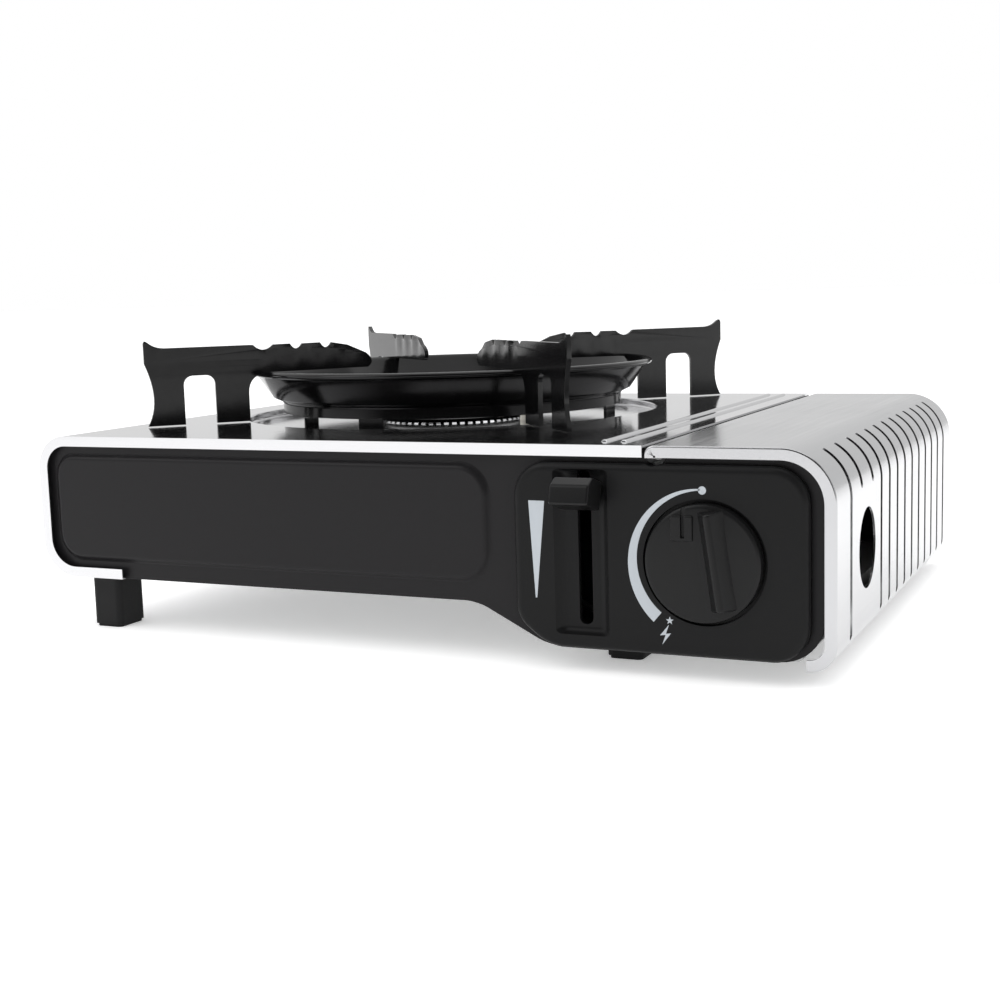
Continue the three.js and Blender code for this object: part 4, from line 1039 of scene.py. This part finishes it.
# ------------------------------------------------------------------ pan support
@dataclass
class PanSupport:
    """The enamelled dish with its skirt, and four pressed fins with rippled inner ends."""

    palette: Palette
    radius: float = 94.3
    rim: float = 22.8
    skirt: float = 79.5
    hole: float = 52.0
    sheet: float = 1.2
    fin_sheet: float = 2.0
    reach: float = 142.8
    tip: float = 38.0
    top: float = 34.6
    under: float = 22.0
    sole: float = 0.4
    notches: tuple[tuple[float, float], ...] = ((89.4, 4.8), (74.4, 2.9), (60.6, 2.7))
    notch_pull: float = 4.6
    ripple: float = 0.35
    ripple_length: float = 13.6

    def build(self) -> None:
        """Builds the dish and the fins."""
        self.dish()
        fin = self.fin()
        burner = Matrix.Translation((BURNER[0] * MM, BURNER[1] * MM, DECK_TOP * MM))
        for place, angle in (("rear_right", 45), ("rear_left", 135),
                             ("front_left", 225), ("front_right", 315)):
            piece = copied(fin, f"fin_plate_{place}")
            piece.data.transform(burner @ Matrix.Rotation(math.radians(angle), 4, "Z"))
            smooth(piece, 50)
            self.palette.dress(piece, "black_enamel", "pan_support", [f"fin_{place}"])
        bpy.data.objects.remove(fin, do_unlink=True)

    def dish(self) -> None:
        """Builds the dish: rolled rim, sloping wall, floor and skirt, with four foot tabs."""
        r, s, t, h = self.radius, self.skirt, self.sheet, self.hole
        m = self.rim
        profile = [
            (r - 2.8, m - 0.1), (r - 1.9, m), (r - 0.9, m - 0.2), (r - 0.2, m - 0.8),
            (r, m - 1.5), (r - 0.3, m - 2.2), (r - 1.0, m - 2.6), (r - 2.2, m - 2.7),
            (r - 3.4, m - 3.2), (s + 4.6, 9.6), (s + 2.0, 8.4), (s + 0.6, 7.6), (s, 6.6),
            (s, 2.5), (s - t, 2.5), (s - t, 6.6), (s - t - 0.4, 7.4), (s - 2.4, 7.6),
            (h + 1.4, 7.6), (h - 0.2, 8.4), (h - 0.8, 9.8), (h - 0.3, 10.6), (h + 0.5, 10.2),
            (h + 1.9, 8.9), (s - 1.0, 8.8), (s + 1.4, 9.5), (s + 3.2, 11.2), (r - 4.6, m - 2.0),
            (r - 3.8, m - 0.7), (r - 2.8, m - 0.1),
        ]
        dish = turned("dish_pressing", [(a, b + DECK_TOP) for a, b in profile], BURNER, 160)
        smooth(dish, 45)
        tabs = []
        for quarter in range(4):
            tab = box("tab", (s - t, -6, DECK_TOP - 3.1), (s, 6, DECK_TOP + 3.0))
            soften(tab, 0.35, 2, 30)
            turn = Matrix.Rotation(quarter * math.pi / 2, 4, "Z")
            tab.data.transform(Matrix.Translation((BURNER[0] * MM, BURNER[1] * MM, 0)) @ turn)
            smooth(tab)
            tabs.append(tab)
        attach(dish, *tabs)
        self.palette.dress(dish, "black_enamel", "pan_support", ["pan_dish"])

    def outline(self) -> list[tuple[float, float]]:
        """Gives one fin's outline as distance from the burner's axis and height.

        Returns:
            Points in order round the fin.
        """
        sole, top, under, reach, tip = self.sole, self.top, self.under, self.reach, self.tip
        points = [(97.0, sole), (112.0, sole), (112.0, under - 4)]
        points += arc(116.0, under - 4, 4.0, 180, 90, 5)
        points += arc(122.0, under - 4, 4.0, 90, 0, 5)
        points += [(126.0, sole), (reach - 0.4, sole)]
        points += bow((reach - 0.4, sole), (reach - 6.8, 11.0), (reach, 28.0), 12)
        points += [(reach, tip - 1.2), (reach - 0.6, tip), (reach - 1.8, tip - 0.6)]
        points += bow((reach - 1.8, tip - 0.6), (reach - 4.6, top + 0.2), (reach - 9.0, top), 5)
        points += [(95.5, top)]
        for middle, half in self.notches:
            points += bow((middle + half, top - 0.1), (middle + 0.3, top - self.notch_pull),
                          (middle - half * 0.9, top - 0.2), 8)
        points += [(50.5, top - 1.6), (42.0, top - 5.5)]
        points += bow((42.0, top - 5.5), (36.8, top - 9.4), (41.2, under + 0.4), 7)
        points += [(reach - 56.8, under)]
        points += bow((86.0, under), (97.0, under), (97.0, 13.0), 8)
        return points

    def fin(self) -> bpy.types.Object:
        """Builds one fin standing along +X: a plate cut to outline, rippled at its inner end."""
        fin = flat_plate("fin", self.outline(), self.fin_sheet)
        face_outwards(fin)
        soften(fin, 0.55, 3, 40)
        for step in range(14):
            with editing(fin, Part.FACE, everything):
                bpy.ops.mesh.bisect(plane_co=((40.5 + 4.0 * step) * MM, 0, 0), plane_no=(1, 0, 0))
        with editing(fin, Part.FACE, everything):
            for height in (26.0, 30.0):
                bpy.ops.mesh.select_all(action="SELECT")
                bpy.ops.mesh.bisect(plane_co=(0, 0, height * MM), plane_no=(0, 0, 1))
        for vertex in fin.data.vertices:
            along, height = vertex.co.x / MM, vertex.co.z / MM
            inwards = max(0.0, min(1.0, (96.0 - along) / 8.0))
            upwards = max(0.0, min(1.0, (height - 21.0) / 9.0))
            wave = math.sin((along - 41.0) / self.ripple_length * math.tau)
            vertex.co.y += wave * self.ripple * inwards * upwards * MM
        return fin


def arc(
    x: float, y: float, radius: float, start: float, end: float, count: int,
) -> list[tuple[float, float]]:
    """Points along a circular arc, both ends included.

    Args:
        x: The centre's first coordinate.
        y: Its second.
        radius: The arc's radius.
        start: First angle, in degrees.
        end: Last angle.
        count: Steps along the arc.

    Returns:
        The points.
    """
    angles = [math.radians(start + (end - start) * k / count) for k in range(count + 1)]
    return [(x + radius * math.cos(a), y + radius * math.sin(a)) for a in angles]


def bow(
    start: tuple[float, float], pull: tuple[float, float], end: tuple[float, float], count: int,
) -> list[tuple[float, float]]:
    """Points along a curve from one place to another that is pulled towards a third.

    Args:
        start: Where the curve starts.
        pull: The place it is pulled towards.
        end: Where it ends.
        count: Steps along it.

    Returns:
        The points, both ends included.
    """
    made = []
    for k in range(count + 1):
        t = k / count
        weighed = tuple(zip(((1 - t) ** 2, 2 * t * (1 - t), t * t), (start, pull, end)))
        made.append(tuple(sum(w * p[i] for w, p in weighed) for i in (0, 1)))
    return made


# ------------------------------------------------------------------ burner
@dataclass
class Burner:
    """The burner's domed cap."""

    palette: Palette
    ring: float = 35.0
    top: float = 80.0

    def build(self) -> None:
        """Builds the cap, smooth where the frame's is faceted."""
        low, edge = self.top + 0.4, self.ring
        profile = [(2.0, low), (edge - 1.6, low), (edge - 1.0, low + 0.5), (edge - 1.1, low + 1.1),
                   (edge - 2.2, low + 1.7), (edge - 4.5, low + 2.5), (26.0, low + 3.1),
                   (16.0, low + 3.9), (8.0, low + 4.15), (2.0, low + 4.2)]
        cap = turned("burner_cap_pressing", profile, BURNER, 96)
        smooth(cap, 45)
        self.palette.dress(cap, "black_enamel", "body", ["burner_cap"])


# ------------------------------------------------------------------ studio
@dataclass
class Studio:
    """The pale floor, soft lights and the camera."""

    floor_shade: float = 0.95
    floor_glow: float = 0.3
    front_span: tuple[float, float] = (-0.28, -0.7)
    front_light: tuple[float, float] = (0.05, 1.0)
    rear_span: tuple[float, float] = (-0.15, 0.55)
    rear_light: float = 0.8
    camera_place: Point = (277.5, -616.3, 137.6)
    yaw: float = 24.9
    pitch: float = 7.83
    roll: float = -1.72
    lens: float = 54.3

    def build(self) -> None:
        """Sets up the floor, the world, the lights and the camera."""
        self.floor()
        self.world()
        self.light("key_light", (-700, -900, 1100), (0.9, 0.9), 5.0)
        self.light("top_light", (60, 150, 1300), (1.4, 1.2), 6.0)
        self.light("lid_light", (1200, -200, 500), (0.8, 1.0), 2.0)
        self.camera()

    def floor(self) -> None:
        """Adds the floor."""
        clear_selection()
        bpy.ops.mesh.primitive_plane_add(size=60, location=(0, 0, 0))
        floor = bpy.context.active_object
        floor.name = "floor"
        material = bpy.data.materials.new("floor_paper")
        material.use_nodes = True
        shader = material.node_tree.nodes["Principled BSDF"]
        shader.inputs["Base Color"].default_value = (*[self.floor_shade] * 3, 1)
        shader.inputs["Roughness"].default_value = 0.8
        shader.inputs["Specular IOR Level"].default_value = 0.1
        shader.inputs["Emission Color"].default_value = WHITE
        shader.inputs["Emission Strength"].default_value = self.floor_glow
        floor.data.materials.append(material)

    def world(self) -> None:
        """Fills the room with even white light, seen in reflections as dark to the front right."""
        world = bpy.data.worlds.new("room")
        bpy.context.scene.world = world
        world.use_nodes = True
        nodes, links = world.node_tree.nodes, world.node_tree.links
        back = nodes["Background"]
        back.inputs["Strength"].default_value = 1.0
        coordinates = nodes.new("ShaderNodeTexCoord")
        apart = nodes.new("ShaderNodeSeparateXYZ")
        links.new(coordinates.outputs["Generated"], apart.inputs["Vector"])
        front = self.ramp(nodes, self.front_span, self.front_light)
        links.new(apart.outputs["X"], front.inputs["Value"])
        behind = self.ramp(nodes, self.rear_span, (0.0, 1.0))
        links.new(apart.outputs["Y"], behind.inputs["Value"])
        fade = nodes.new("ShaderNodeMix")
        links.new(behind.outputs["Result"], fade.inputs[0])
        links.new(front.outputs["Result"], fade.inputs[2])
        fade.inputs[3].default_value = self.rear_light
        path = nodes.new("ShaderNodeLightPath")
        choice = nodes.new("ShaderNodeMix")
        choice.data_type = "RGBA"
        choice.inputs[6].default_value = WHITE
        links.new(path.outputs["Is Glossy Ray"], choice.inputs[0])
        links.new(fade.outputs[0], choice.inputs[7])
        links.new(choice.outputs[2], back.inputs["Color"])
        bpy.context.scene.view_settings.view_transform = "Standard"

    def ramp(
        self, nodes: bpy.types.Nodes, span: tuple[float, float], values: tuple[float, float],
    ) -> bpy.types.ShaderNode:
        """Adds a smooth change from one value to another over a span."""
        node = nodes.new("ShaderNodeMapRange")
        node.interpolation_type = "SMOOTHSTEP"
        names = ("From Min", "From Max", "To Min", "To Max")
        for name, value in zip(names, (*span, *values)):
            node.inputs[name].default_value = value
        return node

    def light(self, name: str, place: Point, size: tuple[float, float], power: float) -> None:
        """Adds one soft rectangular light that faces the stove."""
        data = bpy.data.lights.new(name, "AREA")
        data.shape = "RECTANGLE"
        data.size, data.size_y = size
        data.energy = power
        lamp = bpy.data.objects.new(name, data)
        bpy.context.collection.objects.link(lamp)
        lamp.location = [c * MM for c in place]
        aim = Vector((0, 0, 0.06)) - lamp.location
        lamp.rotation_euler = aim.to_track_quat("-Z", "Y").to_euler()

    def camera(self) -> None:
        """Adds the camera, a little above the deck and to the right of the front."""
        yaw, pitch, roll = (math.radians(a) for a in (self.yaw, self.pitch, self.roll))
        level = math.cos(pitch)
        ahead = Vector((-math.sin(yaw) * level, math.cos(yaw) * level, -math.sin(pitch)))
        right = Vector((math.cos(yaw), math.sin(yaw), 0))
        up = right.cross(ahead)
        side = math.cos(roll) * right + math.sin(roll) * up
        above = -math.sin(roll) * right + math.cos(roll) * up
        data = bpy.data.cameras.new("camera")
        data.sensor_width = 36
        data.lens = self.lens
        camera = bpy.data.objects.new("camera", data)
        bpy.context.collection.objects.link(camera)
        turn = Matrix((side, above, -ahead)).transposed().to_4x4()
        camera.matrix_world = Matrix.Translation([c * MM for c in self.camera_place]) @ turn
        bpy.context.scene.camera = camera


def main() -> None:
    """Builds every sub-assembly in order, then the studio."""
    logging.basicConfig(level=logging.INFO, format="%(message)s")
    palette = Palette()
    palette.dress_frame()
    Body(palette).build()
    Lid(palette).build()
    Panel(palette, "front_pressing", "front_panel", FRONT + 3, -1).build()
    Panel(palette, "rear_pressing", "rear_panel", REAR - 3, 1).build()
    ControlCover(palette).build()
    Marks(palette).build()
    Knob(palette).build()
    LeverCap(palette).build()
    PanSupport(palette).build()
    Burner(palette).build()
    Studio().build()


if __name__ == "__main__":
    main()
